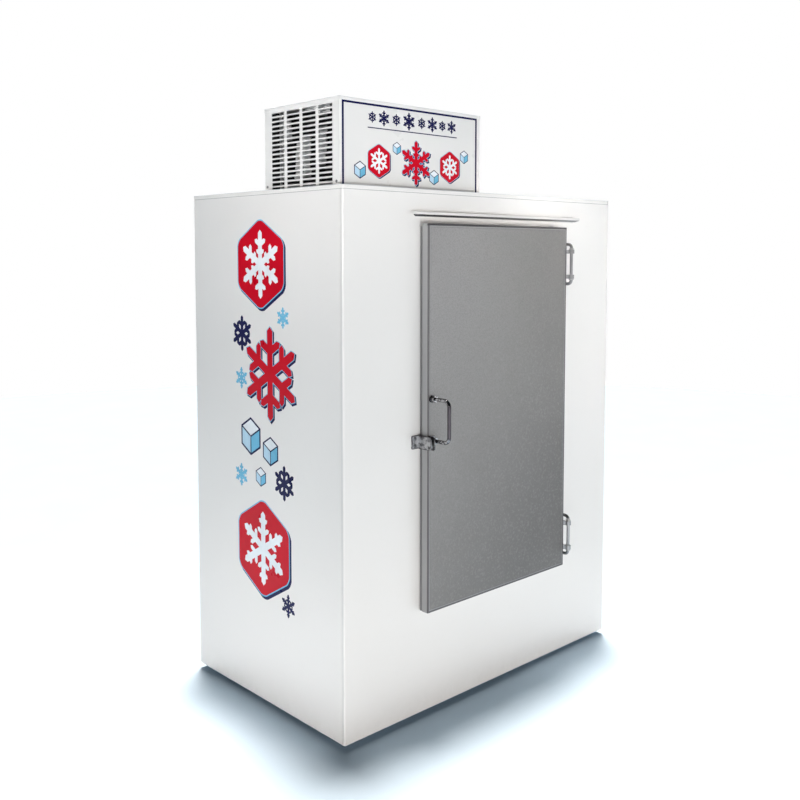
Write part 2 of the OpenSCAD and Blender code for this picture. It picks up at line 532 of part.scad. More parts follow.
module handle_washers() at() color("silver")
  cyly([handle_x, -door_face - 3, handle_z + handle_cc], 12, 3);
// door half of the hasp, clamped under the lower handle foot
module hasp_tab() at() color("silver") difference() {
  union() {
    plate_xz([-327, -door_face - 3, lock_z], 26, 42, 3, 5);
    bx([-340, -door_face - 3, lock_z - 21], [-330, -door_face, lock_z + 21]);
    plate_yz([-340, -door_face - 13.5, lock_z], 27, 42, 3, 8);
    bx([-340, -door_face - 14, lock_z - 21], [-337, -door_face, lock_z + 21]);
  }
  cylx([-345, lock_y, lock_hz], padlock_d / 2, 12);
}
// leaf plates on the door's hinge side, each with two knuckles round the hinge rod
module knuckle(z) difference() {
  union() {
    cylz([hx, hy, z], 10, 14);
    translate([0, 0, z]) linear_extrude(14)
      polygon([[dx + 0.01, -34], [dx + 0.01, -12], [dx + 4, -12], [hx + 4, hy + 4], [hx - 5, hy - 3]]);
  }
  cylz([hx, hy, z - 1], 7.5, 16);
}
module hinge_leaves() at() color("silver") for (z = [hinge_low_z, hinge_up_z]) {
  difference() {
    bx([dx, -36, z + 8], [dx + 2.5, -14, z + hinge_len - 8]);
    for (k = [46, hinge_len / 2, hinge_len - 46]) cylx([dx - 1, -25, z + k], 2.3, 5);
  }
  for (k = [hr + hbend + 4.5, hinge_len - hr - hbend - 18.5]) knuckle(z + k);
}
module hinge_bushings() at() color("white") for (z = [hinge_low_z, hinge_up_z], k = [hr + hbend + 4.5, hinge_len - hr - hbend - 18.5])
  difference() { cylz([hx, hy, z + k], 7.5, 14); cylz([hx, hy, z + k - 1], hr + run_gap, 16); }
module leaf_screws() at() color("silver") for (z = [hinge_low_z, hinge_up_z], k = [46, hinge_len / 2, hinge_len - 46]) {
  cylx([dx, -25, z + k], 2.3, 2.5);
  cylx([dx + 2.5, -25, z + k], 4.2, 2);
}

base_runners();
base_panel();
left_side_panel();
right_side_panel();
back_panel();
front_panel();
roof_cap();
cabinet_insulation();
inner_liner();
door_frame_strips();
drip_rail();
floor_racks();
floor_drain();
hinge_loops();
hinge_collars();
hinge_screws();
strike_bracket();
strike_screws();
header_panel();
box_left_panel();
box_right_panel();
box_back_panel();
box_top();
box_screws();
unit_base();
compressor();
compressor_grommets();
terminal_cover();
condenser_coil();
condenser_fan_shroud();
condenser_fan_motor();
condenser_fan();
filter_drier();
refrigerant_lines();
line_sleeve();
control_box();
control_plate();
thermostat_body();
thermostat_knob();
power_switch_body();
power_switch_rocker();
cord_gland();
evaporator_housing();
evaporator_coil();
evaporator_fan_motor();
evaporator_fan();
evaporator_fan_guard();
evaporator_drip_pan();
evaporator_drain_tube();
door_outer_pan();
door_insulation();
door_inner_pan();
door_gasket();
door_handle();
handle_washers();
hasp_tab();
hinge_leaves();
hinge_bushings();
leaf_screws();
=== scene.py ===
import math
import random

import bmesh
import bpy
from mathutils import Matrix, Vector

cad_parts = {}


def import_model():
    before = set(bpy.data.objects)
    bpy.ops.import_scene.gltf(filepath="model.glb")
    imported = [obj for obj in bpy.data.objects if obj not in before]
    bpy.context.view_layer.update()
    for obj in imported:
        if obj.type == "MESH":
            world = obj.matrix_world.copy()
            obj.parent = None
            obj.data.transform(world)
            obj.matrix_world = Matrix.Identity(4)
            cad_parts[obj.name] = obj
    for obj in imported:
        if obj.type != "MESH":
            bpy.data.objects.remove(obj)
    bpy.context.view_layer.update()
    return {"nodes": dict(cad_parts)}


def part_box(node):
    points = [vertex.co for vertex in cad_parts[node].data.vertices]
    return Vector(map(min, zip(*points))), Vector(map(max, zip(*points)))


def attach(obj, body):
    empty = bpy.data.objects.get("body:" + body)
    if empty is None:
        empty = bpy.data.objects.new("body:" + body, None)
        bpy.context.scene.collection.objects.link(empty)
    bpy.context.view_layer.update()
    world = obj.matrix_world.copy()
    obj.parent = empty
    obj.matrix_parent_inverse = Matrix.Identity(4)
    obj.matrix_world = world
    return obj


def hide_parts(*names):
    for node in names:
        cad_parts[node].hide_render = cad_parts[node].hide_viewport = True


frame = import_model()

NODE = frame["nodes"]
SCENE = bpy.context.scene

# ------------------------------------------------------------------ reference planes, from the frame
front_lo, front_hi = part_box("front_panel")
YF = front_lo.y                      # front skin
SIDE_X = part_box("left_side_panel")[0].x
ROOF_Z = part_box("roof_cap")[1].z
BOX_LO, BOX_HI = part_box("box_top")
HEAD_LO, HEAD_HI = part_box("header_panel")
DOOR_LO, DOOR_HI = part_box("door_outer_pan")
mm = 0.001


# ------------------------------------------------------------------ camera
def make_camera():
    cam = bpy.data.cameras.new("camera")
    ob = bpy.data.objects.new("camera", cam)
    SCENE.collection.objects.link(ob)
    cam.sensor_width = 36.0
    cam.lens = 42.669
    cam.shift_y = -0.10
    cam.clip_start, cam.clip_end = 0.05, 400
    yaw, pitch = math.radians(43.096), math.radians(3.935)
    look = Vector((math.sin(yaw) * math.cos(pitch), math.cos(yaw) * math.cos(pitch), -math.sin(pitch)))
    ob.location = (-2.3685, -2.4171, 1.462)
    ob.rotation_mode = "QUATERNION"
    ob.rotation_quaternion = look.to_track_quat("-Z", "Y")
    SCENE.camera = ob


make_camera()
SCENE.view_settings.view_transform = "Standard"
SCENE.view_settings.look = "None"


# ------------------------------------------------------------------ shader helper
class Mat:
    """A Principled material with procedural inputs, all in the object's own coordinates."""

    def __init__(self, name, color=(0.5, 0.5, 0.5), rough=0.5, metal=0.0, spec=0.5, coat=0.0, coat_rough=0.1):
        self.m = bpy.data.materials.new(name)
        self.m.use_nodes = True
        self.nt = self.m.node_tree
        self.nt.nodes.clear()
        out = self.n("ShaderNodeOutputMaterial")
        self.p = self.n("ShaderNodeBsdfPrincipled")
        self.nt.links.new(self.p.outputs[0], out.inputs["Surface"])
        self.set("Base Color", (*color, 1))
        self.set("Roughness", rough)
        self.set("Metallic", metal)
        self.set("Specular IOR Level", spec)
        self.set("Coat Weight", coat)
        self.set("Coat Roughness", coat_rough)
        self.m.diffuse_color = (*color, 1)
        self.co = self.n("ShaderNodeTexCoord").outputs["Object"]
        self.color = color
        self.normal = None

    def n(self, kind, **kw):
        node = self.nt.nodes.new(kind)
        for k, v in kw.items():
            setattr(node, k, v)
        return node

    def put(self, socket, value):
        if isinstance(value, bpy.types.NodeSocket):
            self.nt.links.new(value, socket)
        elif value is not None:
            socket.default_value = value

    def set(self, name, value):
        if isinstance(value, tuple) and len(value) == 3:
            value = (*value, 1)
        self.put(self.p.inputs[name], value)

    def stretch(self, sx, sy, sz, vec=None):
        node = self.n("ShaderNodeMapping")
        self.put(node.inputs["Vector"], vec or self.co)
        node.inputs["Scale"].default_value = (sx, sy, sz)
        return node.outputs[0]

    def noise(self, scale, detail=2.0, rough=0.5, vec=None, color=False):
        node = self.n("ShaderNodeTexNoise")
        self.put(node.inputs["Vector"], vec or self.co)
        node.inputs["Scale"].default_value = scale
        node.inputs["Detail"].default_value = detail
        node.inputs["Roughness"].default_value = rough
        return node.outputs["Color" if color else "Fac"]

    def voronoi(self, scale, out="Distance", feature="F1", vec=None, rand=1.0, smooth=0.3):
        node = self.n("ShaderNodeTexVoronoi", feature=feature)
        self.put(node.inputs["Vector"], vec or self.co)
        node.inputs["Scale"].default_value = scale
        node.inputs["Randomness"].default_value = rand
        if feature == "SMOOTH_F1":
            node.inputs["Smoothness"].default_value = smooth
        return node.outputs[out]

    def math(self, op, a, b=None, clamp=False):
        node = self.n("ShaderNodeMath", operation=op, use_clamp=clamp)
        self.put(node.inputs[0], a)
        self.put(node.inputs[1], b)
        return node.outputs[0]

    def remap(self, v, a, b, c=0.0, d=1.0, smooth=False):
        node = self.n("ShaderNodeMapRange")
        if smooth:
            node.interpolation_type = "SMOOTHSTEP"
        for k, x in zip(("Value", "From Min", "From Max", "To Min", "To Max"), (v, a, b, c, d)):
            self.put(node.inputs[k], x)
        return node.outputs[0]

    def mix(self, fac, a, b, mode="MIX"):
        node = self.n("ShaderNodeMix", data_type="RGBA", blend_type=mode)
        for i, x in ((0, fac), (6, a), (7, b)):
            if isinstance(x, tuple) and len(x) == 3:
                x = (*x, 1)
            self.put(node.inputs[i], x)
        return node.outputs[2]

    def xyz(self):
        node = self.n("ShaderNodeSeparateXYZ")
        self.put(node.inputs[0], self.co)
        return node.outputs

    def bump(self, height, dist, strength=1.0):
        node = self.n("ShaderNodeBump")
        node.inputs["Strength"].default_value = strength
        node.inputs["Distance"].default_value = dist
        self.put(node.inputs["Height"], height)
        if self.normal is not None:
            self.put(node.inputs["Normal"], self.normal)
        self.normal = node.outputs[0]
        self.put(self.p.inputs["Normal"], self.normal)
        return self

    def tone(self, k):
        return tuple(min(1.0, c * k) for c in self.color)


def grain(name, color, rough, metal=0.0, var=0.05, scale=4.0, fine=90.0, rvar=0.06, peel=None, peel_d=0.02, **kw):
    """A finish with slow and fine tone changes, uneven roughness and a fine surface relief."""
    m = Mat(name, color, rough, metal, **kw)
    slow = m.noise(scale, 3.0)
    quick = m.noise(fine, 2.0)
    fac = m.math("ADD", m.math("MULTIPLY", slow, 0.7), m.math("MULTIPLY", quick, 0.3))
    m.set("Base Color", m.mix(m.remap(fac, 0.3, 0.7), m.tone(1 - var), m.tone(1 + var)))
    m.base = m.p.inputs["Base Color"].links[0].from_socket
    m.set("Roughness", m.remap(m.noise(scale * 3.1, 4.0, 0.6), 0.3, 0.7, max(0.03, rough - rvar), min(1.0, rough + rvar)))
    if peel:
        m.bump(m.noise(peel, 2.0), peel_d * mm)
    return m


def enamel(name, color, rough=0.33, bottom=None):
    """Baked white enamel on sheet: orange peel, slight waviness of the sheet, faint scuffs and a dusty foot."""
    m = Mat(name, color, rough, 0.0, spec=0.5, coat=0.25, coat_rough=0.18)
    slow = m.noise(1.7, 2.0)
    spots = m.noise(38.0, 3.0)
    base = m.mix(m.remap(slow, 0.35, 0.65), m.tone(0.985), m.tone(1.005))
    base = m.mix(m.remap(spots, 0.62, 0.8, 0.0, 0.05), base, (0.55, 0.56, 0.57))
    scratch = m.noise(5.0, 6.0, 0.75, m.stretch(1.0, 1.0, 34.0))
    scratch = m.remap(scratch, 0.655, 0.69, 0.0, 1.0)
    patchy = m.remap(m.noise(3.3, 2.0), 0.5, 0.62)
    mark = m.math("MULTIPLY", scratch, patchy)
    if bottom is not None:
        z = m.xyz()[2]
        low = m.remap(z, bottom + 0.10, bottom, 0.0, 1.0, smooth=True)
        dust = m.math("MULTIPLY", low, m.remap(m.noise(22.0, 5.0, 0.65), 0.35, 0.7))
        base = m.mix(m.math("MULTIPLY", dust, 0.10), base, (0.42, 0.40, 0.37))
        near = m.remap(z, bottom + 0.6, bottom, 0.12, 1.0)
        mark = m.math("MULTIPLY", mark, near)
        # warmer towards the bottom: a painted warm tint that offsets the blue light bounced up from the floor
        base = m.mix(m.remap(z, 1.35, 0.45), base, (1.0, 0.980, 0.964), "MULTIPLY")
    base = m.mix(m.math("MULTIPLY", mark, 0.10), base, (0.45, 0.46, 0.47))
    m.set("Base Color", base)
    r = m.remap(m.noise(6.0, 4.0, 0.6), 0.3, 0.7, rough - 0.05, rough + 0.06)
    m.set("Roughness", m.math("ADD", r, m.math("MULTIPLY", mark, 0.18)))
    m.bump(m.noise(1.5, 1.0), 1.1 * mm)
    m.bump(m.noise(330.0, 2.0), 0.03 * mm)
    return m


FIN = {}
FIN["white_enamel"] = enamel("white_enamel", (0.803, 0.785, 0.770), 0.34, bottom=0.02)
BOX_ENAMEL = enamel("box_enamel", (0.795, 0.785, 0.775), 0.36)


def painted_slot_shade(m):
    """Painted shade on the punched edges of the louvre slots in the roof box's sides: a dark margin round each slot."""
    x, y, z = m.xyz()
    row = m.math("SUBTRACT", z, ROOF_Z + 0.228)
    row = m.math("DIVIDE", m.math("ABSOLUTE", m.math("SUBTRACT", m.math("FRACT", m.math("ADD", m.math("DIVIDE", row, 0.0141), 100.5)), 0.5)), 1.0)
    col = m.math("DIVIDE", m.math("SUBTRACT", y, YF + 0.088), 0.0773)
    col = m.math("ABSOLUTE", m.math("SUBTRACT", m.math("FRACT", m.math("ADD", col, 100.5)), 0.5))
    near = m.math("MULTIPLY", m.remap(row, 0.378, 0.338), m.remap(col, 0.415, 0.404))
    inside = m.math("MULTIPLY", m.math("GREATER_THAN", y, YF + 0.052), m.math("LESS_THAN", y, YF + 0.356))
    inside = m.math("MULTIPLY", inside, m.math("LESS_THAN", z, ROOF_Z + 0.235))
    side = m.math("GREATER_THAN", m.math("ABSOLUTE", m.math("SUBTRACT", x, (BOX_LO.x + BOX_HI.x) / 2)), (BOX_HI.x - BOX_LO.x) / 2 - 0.004)
    near = m.math("MULTIPLY", m.math("MULTIPLY", near, inside), side)
    near = m.math("MULTIPLY", near, m.remap(m.noise(35.0, 3.0), 0.3, 0.6, 0.50, 0.92))
    old = m.p.inputs["Base Color"].links[0].from_socket
    # the dark margin round each slot is painted shade
    m.set("Base Color", m.mix(near, old, (0.05, 0.048, 0.05)))
    return m


FIN["box_enamel"] = painted_slot_shade(BOX_ENAMEL)


def front_enamel():
    m = enamel("front_enamel", (0.803, 0.785, 0.770), 0.34, bottom=0.02)
    y = m.xyz()[1]
    # painted shade: from 4.5 mm behind the face, on the return flanges round the corners, the skin is painted darker to
    # give a dark line at each corner
    past = m.math("MULTIPLY", m.remap(y, YF + 3.0 * mm, YF + 4.5 * mm), m.remap(m.noise(14.0, 4.0), 0.2, 0.6, 0.75, 1.0))
    old = m.p.inputs["Base Color"].links[0].from_socket
    m.set("Base Color", m.mix(m.math("MULTIPLY", past, 0.20), old, (0.30, 0.30, 0.31)))
    return m


FRONT = front_enamel()


def rail_enamel():
    """The cabinet's enamel on the drip rail, painted greyer towards the hinge side as painted shade."""
    m = enamel("rail_enamel", (0.803, 0.785, 0.770), 0.34)
    # painted shade, greyer towards the hinge side
    painted_rail_shade = m.math("ADD", m.remap(m.xyz()[0], -0.12, 0.44, 0.0, 0.52), m.math("MULTIPLY", m.math("SUBTRACT", m.noise(26.0, 4.0), 0.5), 0.16), clamp=True)
    old = m.p.inputs["Base Color"].links[0].from_socket
    m.set("Base Color", m.mix(painted_rail_shade, old, (0.43, 0.43, 0.435)))
    return m


RAIL = rail_enamel()


def dusty_shaded_top(name, color, z_top, depth):
    """The same enamel, with a blue-grey film on the upward face that is part dust and part painted shade against the
    strong overhead lamp.
    """
    m = enamel(name, color, 0.36)
    z = m.xyz()[2]
    up = m.remap(z, z_top - depth - 0.4 * mm, z_top - depth + 0.4 * mm)
    old = m.p.inputs["Base Color"].links[0].from_socket
    # dust and painted shade: the upward face is painted a darker blue-grey
    film = m.mix(m.remap(m.noise(5.0, 5.0, 0.6), 0.3, 0.7), (0.526, 0.583, 0.634), (0.583, 0.642, 0.694))
    film = m.mix(m.remap(m.noise(60.0, 3.0), 0.58, 0.75, 0.0, 0.25), film, (0.48, 0.48, 0.48))
    m.set("Base Color", m.mix(up, old, film))
    rough = m.p.inputs["Roughness"].links[0].from_socket
    m.set("Roughness", m.math("ADD", rough, m.math("MULTIPLY", up, 0.25)))
    return m


ROOF = dusty_shaded_top("roof_enamel", (0.803, 0.785, 0.770), ROOF_Z, 0.7 * mm)
BOX_TOP = dusty_shaded_top("box_top_enamel", (0.795, 0.785, 0.775), BOX_HI.z, 0.7 * mm)


def header_sheet():
    m = enamel("header_sheet", (0.825, 0.812, 0.80), 0.28)
    return m


FIN["header_sheet"] = header_sheet()


def galvanised():
    m = Mat("galvanised_sheet", (0.60, 0.62, 0.64), 0.42, 0.85)
    cell = m.voronoi(85.0, "Color")
    big = m.voronoi(33.0, "Color")
    a = m.n("ShaderNodeSeparateColor")
    m.put(a.inputs[0], cell)
    b = m.n("ShaderNodeSeparateColor")
    m.put(b.inputs[0], big)
    f = m.math("ADD", m.math("MULTIPLY", a.outputs[0], 0.5), m.math("MULTIPLY", b.outputs[1], 0.5))
    base = m.mix(m.remap(f, 0.15, 0.85), (0.47, 0.485, 0.50), (0.68, 0.695, 0.71))
    stain = m.remap(m.noise(4.0, 5.0, 0.6), 0.55, 0.75, 0.0, 0.35)
    m.set("Base Color", m.mix(stain, base, (0.52, 0.53, 0.53)))
    m.set("Roughness", m.remap(f, 0.1, 0.9, 0.30, 0.52))
    m.bump(m.noise(240.0, 2.0), 0.02 * mm)
    return m


FIN["galvanised_sheet"] = galvanised()
FIN["runner_steel"] = grain("runner_steel", (0.32, 0.41, 0.47), 0.55, 0.2, var=0.25, scale=9, fine=160, rvar=0.1, peel=220, peel_d=0.08)
FIN["liner_enamel"] = grain("liner_enamel", (0.74, 0.755, 0.76), 0.30, 0.0, var=0.02, scale=2.0, fine=60, rvar=0.05, peel=300, peel_d=0.03)
FIN["frame_plastic"] = grain("frame_plastic", (0.71, 0.725, 0.73), 0.42, 0.0, var=0.03, scale=5.0, fine=120, rvar=0.06, peel=500, peel_d=0.05)


def foam():
    m = Mat("foam", (0.72, 0.60, 0.33), 0.9, 0.0, spec=0.2)
    c = m.voronoi(420.0, "Distance")
    base = m.mix(m.remap(c, 0.0, 0.7), (0.78, 0.66, 0.38), (0.58, 0.46, 0.24))
    m.set("Base Color", m.mix(m.remap(m.noise(8.0, 4.0), 0.4, 0.7, 0.0, 0.5), base, (0.66, 0.52, 0.28)))
    m.bump(c, 0.6 * mm)
    return m


FIN["foam"] = foam()


def door_sheet():
    """Pebbled grey sheet, painted lighter towards the top left and darker towards the bottom right as painted light,
    with painted shade in the pebble's hollows and a painted warm tint low down. The bends round the face are smoother
    and painted dark as painted shade, darkest along the top, with a faint painted dark line and a painted highlight
    line inside them. The side returns are painted lighter as painted light.
    """
    m = Mat("door_sheet", (0.255, 0.248, 0.246), 0.44, 0.30, spec=0.4)
    x, y, z = m.xyz()
    cx = (DOOR_LO.x + DOOR_HI.x) / 2
    cz = (DOOR_LO.z + DOOR_HI.z) / 2
    hx, hz = (DOOR_HI.x - DOOR_LO.x) / 2, (DOOR_HI.z - DOOR_LO.z) / 2
    ex = m.math("SUBTRACT", hx, m.math("ABSOLUTE", m.math("SUBTRACT", x, cx)))
    ez = m.math("SUBTRACT", hz, m.math("ABSOLUTE", m.math("SUBTRACT", z, cz)))
    e = m.math("MINIMUM", ex, ez)
    face = m.math("LESS_THAN", y, DOOR_LO.y + 3.2 * mm)
    wob = m.math("MULTIPLY", m.math("SUBTRACT", m.noise(9.0, 2.0), 0.5), 1.2 * mm)
    e = m.math("ADD", e, wob)
    hem = m.math("MULTIPLY", m.remap(e, 6.0 * mm, 5.2 * mm), face)
    head = m.math("MULTIPLY", m.remap(z, DOOR_HI.z - 6.8 * mm, DOOR_HI.z - 5.8 * mm), m.math("LESS_THAN", y, DOOR_LO.y + 5 * mm))
    line = m.math("MULTIPLY", m.math("MULTIPLY", m.remap(e, 8.6 * mm, 9.4 * mm), m.remap(e, 12.6 * mm, 11.6 * mm)), face)
    rim = m.math("MULTIPLY", m.math("MULTIPLY", m.remap(e, 5.8 * mm, 6.4 * mm), m.remap(e, 9.6 * mm, 8.8 * mm)), face)
    peb = m.voronoi(300.0, "Distance", "SMOOTH_F1", rand=1.0, smooth=0.45)
    peb2 = m.noise(520.0, 2.0)
    # painted light: lighter towards the top left, darker towards the bottom right
    painted_light_slope = m.math("ADD", m.math("MULTIPLY", x, -0.68), m.math("MULTIPLY", m.math("SUBTRACT", z, 1.02), 0.62))
    painted_light_slope = m.math("ADD", painted_light_slope, m.math("MULTIPLY", m.math("SUBTRACT", m.noise(2.4, 3.0), 0.5), 0.09))
    tone = m.mix(m.remap(painted_light_slope, -0.45, 0.45), m.tone(0.56), m.tone(1.49))
    # painted shade in the hollows of the pebble, where the relief is low
    tone = m.mix(m.remap(peb, 0.05, 0.75, 0.0, 0.32), tone, m.tone(0.55))
    tone = m.mix(m.remap(m.noise(150.0, 3.0), 0.5, 0.75, 0.0, 0.35), tone, m.tone(1.28))
    # warmer towards the bottom: a painted warm tint that offsets the blue light bounced up from the floor
    tone = m.mix(m.remap(z, 1.25, 0.45), tone, (1.0, 0.972, 0.945), "MULTIPLY")
    spot = m.n("ShaderNodeVectorMath", operation="DISTANCE")  # a darker patch that offsets the right_top lamp on the door; it isn't wear on the sheet
    m.put(spot.inputs[0], m.stretch(1.0, 0.0, 1.0))
    spot.inputs[1].default_value = (0.36, 0.0, 1.50)
    tone = m.mix(m.remap(spot.outputs["Value"], 0.58, 0.04, 0.0, 0.30, smooth=True), tone, (0.0, 0.0, 0.0))
    # painted light: the side returns are painted lighter than the face
    side = m.math("GREATER_THAN", y, DOOR_LO.y + 4.0 * mm)
    tone = m.mix(side, tone, (0.36, 0.358, 0.36))
    # painted shade on the bends round the face, darkest along the top; then a faint painted dark line and a painted
    # highlight line inside the bends
    tone = m.mix(m.math("MULTIPLY", hem, 0.74), tone, (0.082, 0.074, 0.082))
    tone = m.mix(m.math("MULTIPLY", head, 0.80), tone, (0.040, 0.036, 0.042))
    tone = m.mix(m.math("MULTIPLY", line, 0.20), tone, (0.10, 0.095, 0.10))
    tone = m.mix(m.math("MULTIPLY", rim, 0.30), tone, (0.42, 0.42, 0.42))
    m.set("Base Color", tone)
    m.set("Roughness", m.remap(m.noise(14.0, 4.0), 0.3, 0.7, 0.38, 0.50))
    smoothed = m.math("SUBTRACT", 1.0, hem)
    h = m.math("MULTIPLY", m.math("ADD", m.math("MULTIPLY", peb, -0.8), m.math("MULTIPLY", peb2, 0.35)), smoothed)
    m.bump(m.noise(1.9, 1.0), 0.8 * mm)
    m.bump(h, 0.32 * mm)
    return m


FIN["door_sheet"] = door_sheet()
FIN["gasket_rubber"] = grain("gasket_rubber", (0.225, 0.220, 0.222), 0.62, 0.0, var=0.08, scale=12, fine=200, rvar=0.06, peel=600, peel_d=0.04, spec=0.35)


def wire_metal(name, color, rough, metal=1.0, stain=(0.3, 0.28, 0.26), amount=0.15, var=0.05, scale=40.0):
    m = Mat(name, color, rough, metal)
    f = m.noise(scale, 4.0, 0.6)
    base = m.mix(m.remap(f, 0.3, 0.7), m.tone(1 - var), m.tone(1 + var))
    spot = m.remap(m.noise(scale * 0.35, 5.0, 0.7), 0.58, 0.72, 0.0, amount)
    m.set("Base Color", m.mix(spot, base, stain))
    m.set("Roughness", m.math("ADD", m.remap(f, 0.3, 0.7, max(0.02, rough - 0.04), rough + 0.05), m.math("MULTIPLY", spot, 0.6)))
    m.bump(m.noise(scale * 12, 2.0), 0.008 * mm)
    return m


FIN["bright_chrome"] = wire_metal("bright_chrome", (0.15, 0.147, 0.155), 0.20, amount=0.08)
HINGE_METAL = wire_metal("hinge_chrome", (0.29, 0.288, 0.293), 0.36, amount=0.12)
SCREW_DARK = wire_metal("screw_metal", (0.20, 0.20, 0.21), 0.34, amount=0.3, scale=90)
FIN["rack_steel"] = wire_metal("rack_steel", (0.55, 0.56, 0.57), 0.32, amount=0.2)
FIN["guard_wire"] = wire_metal("guard_wire", (0.55, 0.56, 0.57), 0.28, amount=0.15)
FIN["copper_tube"] = wire_metal("copper_tube", (0.78, 0.36, 0.20), 0.30, stain=(0.16, 0.08, 0.05), amount=0.55, var=0.12)


def handle_metal():
    """Chromed rod, bright at the feet and the bends. Where hands hold it the rod is rougher and painted near-black, a
    painted dark reflection.
    """
    m = Mat("handle_chrome", (0.40, 0.395, 0.405), 0.10, 1.0)
    lo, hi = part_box("door_handle")
    z = m.math("ADD", m.xyz()[2], m.math("MULTIPLY", m.math("SUBTRACT", m.noise(60.0, 3.0), 0.5), 6 * mm))
    grip = m.math("MULTIPLY", m.remap(z, lo.z + 17 * mm, lo.z + 25 * mm), m.remap(z, hi.z - 17 * mm, hi.z - 25 * mm))
    f = m.noise(55.0, 4.0, 0.6)
    bright = m.mix(m.remap(f, 0.3, 0.7), m.tone(0.90), m.tone(1.35))
    painted_dark_patches = m.remap(m.noise(130.0, 2.0, 0.5), 0.47, 0.53)  # painted dark reflections in patches
    bright = m.mix(m.math("MULTIPLY", painted_dark_patches, 0.80), bright, (0.035, 0.031, 0.037))
    streak = m.noise(30.0, 3.0, 0.6, m.stretch(8.0, 8.0, 0.6))
    # painted dark reflection on the grip, with vertical streaks
    painted_dark_reflection = m.mix(m.remap(streak, 0.3, 0.7), (0.036, 0.032, 0.038), (0.074, 0.068, 0.076))
    m.set("Base Color", m.mix(grip, bright, painted_dark_reflection))
    m.set("Roughness", m.math("ADD", m.remap(f, 0.3, 0.7, 0.07, 0.14), m.math("MULTIPLY", grip, 0.22)))
    m.bump(m.noise(700.0, 2.0), 0.01 * mm)
    return m


HANDLE_METAL = handle_metal()


def zinc(name="zinc_plate", plate=None, spots=()):
    """Cloudy zinc plating. On the hasp's plates the colour is darker within a few mm of the cut edges, and a painted
    shadow rings the seats of the screws.
    """
    m = Mat(name, (0.50, 0.51, 0.53), 0.32, 0.95)
    f = m.noise(70.0, 4.0, 0.65)
    cloud = m.voronoi(160.0, "Distance", "SMOOTH_F1", smooth=0.7)
    base = m.mix(m.remap(f, 0.3, 0.7), *(((0.25, 0.252, 0.262), (0.42, 0.425, 0.435)) if plate is None else ((0.40, 0.40, 0.405), (0.60, 0.60, 0.605))))
    base = m.mix(m.remap(cloud, 0.1, 0.7, 0.0, 0.35), base, (0.20, 0.20, 0.215))
    if plate is not None:
        lo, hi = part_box(plate)
        x, y, z = m.xyz()
        wob = m.math("MULTIPLY", m.math("SUBTRACT", m.noise(120.0, 3.0), 0.5), 2.4 * mm)
        mid = (lo.z + hi.z) / 2
        edge = m.math("SUBTRACT", (hi.z - lo.z) / 2, m.math("ABSOLUTE", m.math("SUBTRACT", z, mid)))
        for side in (m.math("SUBTRACT", x, lo.x), m.math("SUBTRACT", hi.x + 2.4 * mm, x), m.math("SUBTRACT", y, lo.y)):
            far = m.math("MULTIPLY", m.math("LESS_THAN", side, 0.2 * mm), 1.0)  # the plate's own faces don't count as its edges
            edge = m.math("MINIMUM", edge, m.math("ADD", side, far))
        edge = m.math("ADD", edge, wob)
        rim = m.remap(edge, 3.4 * mm, 1.8 * mm)
        base = m.mix(m.math("MULTIPLY", rim, 0.80), base, (0.055, 0.05, 0.058))
        blots = m.remap(m.noise(52.0, 2.0, 0.5), 0.51, 0.56)
        base = m.mix(m.math("MULTIPLY", blots, 0.62), base, (0.075, 0.068, 0.078))
        for cx, cz, r in spots:
            d = m.n("ShaderNodeVectorMath", operation="DISTANCE")
            at = m.n("ShaderNodeCombineXYZ")
            m.put(at.inputs[0], x)
            m.put(at.inputs[2], z)
            m.put(d.inputs[0], at.outputs[0])
            d.inputs[1].default_value = (cx, 0.0, cz)
            # a painted shadow in a ring round each screw seat
            ring = m.remap(m.math("ADD", d.outputs["Value"], wob), (r + 2.2) * mm, r * mm)
            base = m.mix(m.math("MULTIPLY", ring, 0.75), base, (0.05, 0.045, 0.052))
    m.set("Base Color", base)
    m.set("Roughness", m.remap(f, 0.3, 0.7, 0.24, 0.42))
    m.bump(m.noise(700.0, 2.0), 0.02 * mm)
    return m


FIN["zinc_plate"] = zinc()
sc_lo, sc_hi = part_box("strike_screws")
STRIKE_ZINC = zinc("strike_zinc", "strike_bracket", [((sc_lo.x + sc_hi.x) / 2, (sc_lo.z + sc_hi.z) / 2 + s * 11 * mm, 5.0) for s in (-1, 1)])
HASP_ZINC = zinc("hasp_zinc", "hasp_tab")
FIN["bush_nylon"] = grain("bush_nylon", (0.36, 0.355, 0.345), 0.48, 0.0, var=0.05, scale=60, fine=400, rvar=0.05, peel=700, peel_d=0.03)
FIN["compressor_enamel"] = grain("compressor_enamel", (0.014, 0.015, 0.016), 0.28, 0.0, var=0.3, scale=14, fine=160, rvar=0.1, peel=260, peel_d=0.10, coat=0.3, coat_rough=0.15)
FIN["black_rubber"] = grain("black_rubber", (0.022, 0.022, 0.023), 0.72, 0.0, var=0.25, scale=30, fine=300, rvar=0.08, peel=500, peel_d=0.06, spec=0.3)
FIN["black_plastic"] = grain("black_plastic", (0.020, 0.021, 0.023), 0.42, 0.0, var=0.2, scale=40, fine=500, rvar=0.06, peel=900, peel_d=0.05)
FIN["rocker_plastic"] = grain("rocker_plastic", (0.03, 0.22, 0.06), 0.30, 0.0, var=0.08, scale=60, fine=500, rvar=0.05, peel=900, peel_d=0.02, coat=0.3)
FIN["drain_plastic"] = grain("drain_plastic", (0.30, 0.31, 0.32), 0.45, 0.0, var=0.06, scale=30, fine=300, rvar=0.06, peel=400, peel_d=0.04)
FIN["fan_sheet"] = wire_metal("fan_sheet", (0.58, 0.59, 0.60), 0.36, amount=0.25, scale=26)
FIN["grey_enamel"] = grain("grey_enamel", (0.33, 0.34, 0.35), 0.38, 0.0, var=0.05, scale=10, fine=200, rvar=0.08, peel=320, peel_d=0.05, coat=0.2)
FIN["coil_fins"] = wire_metal("coil_fins", (0.50, 0.51, 0.53), 0.38, stain=(0.20, 0.19, 0.18), amount=0.5, scale=30)

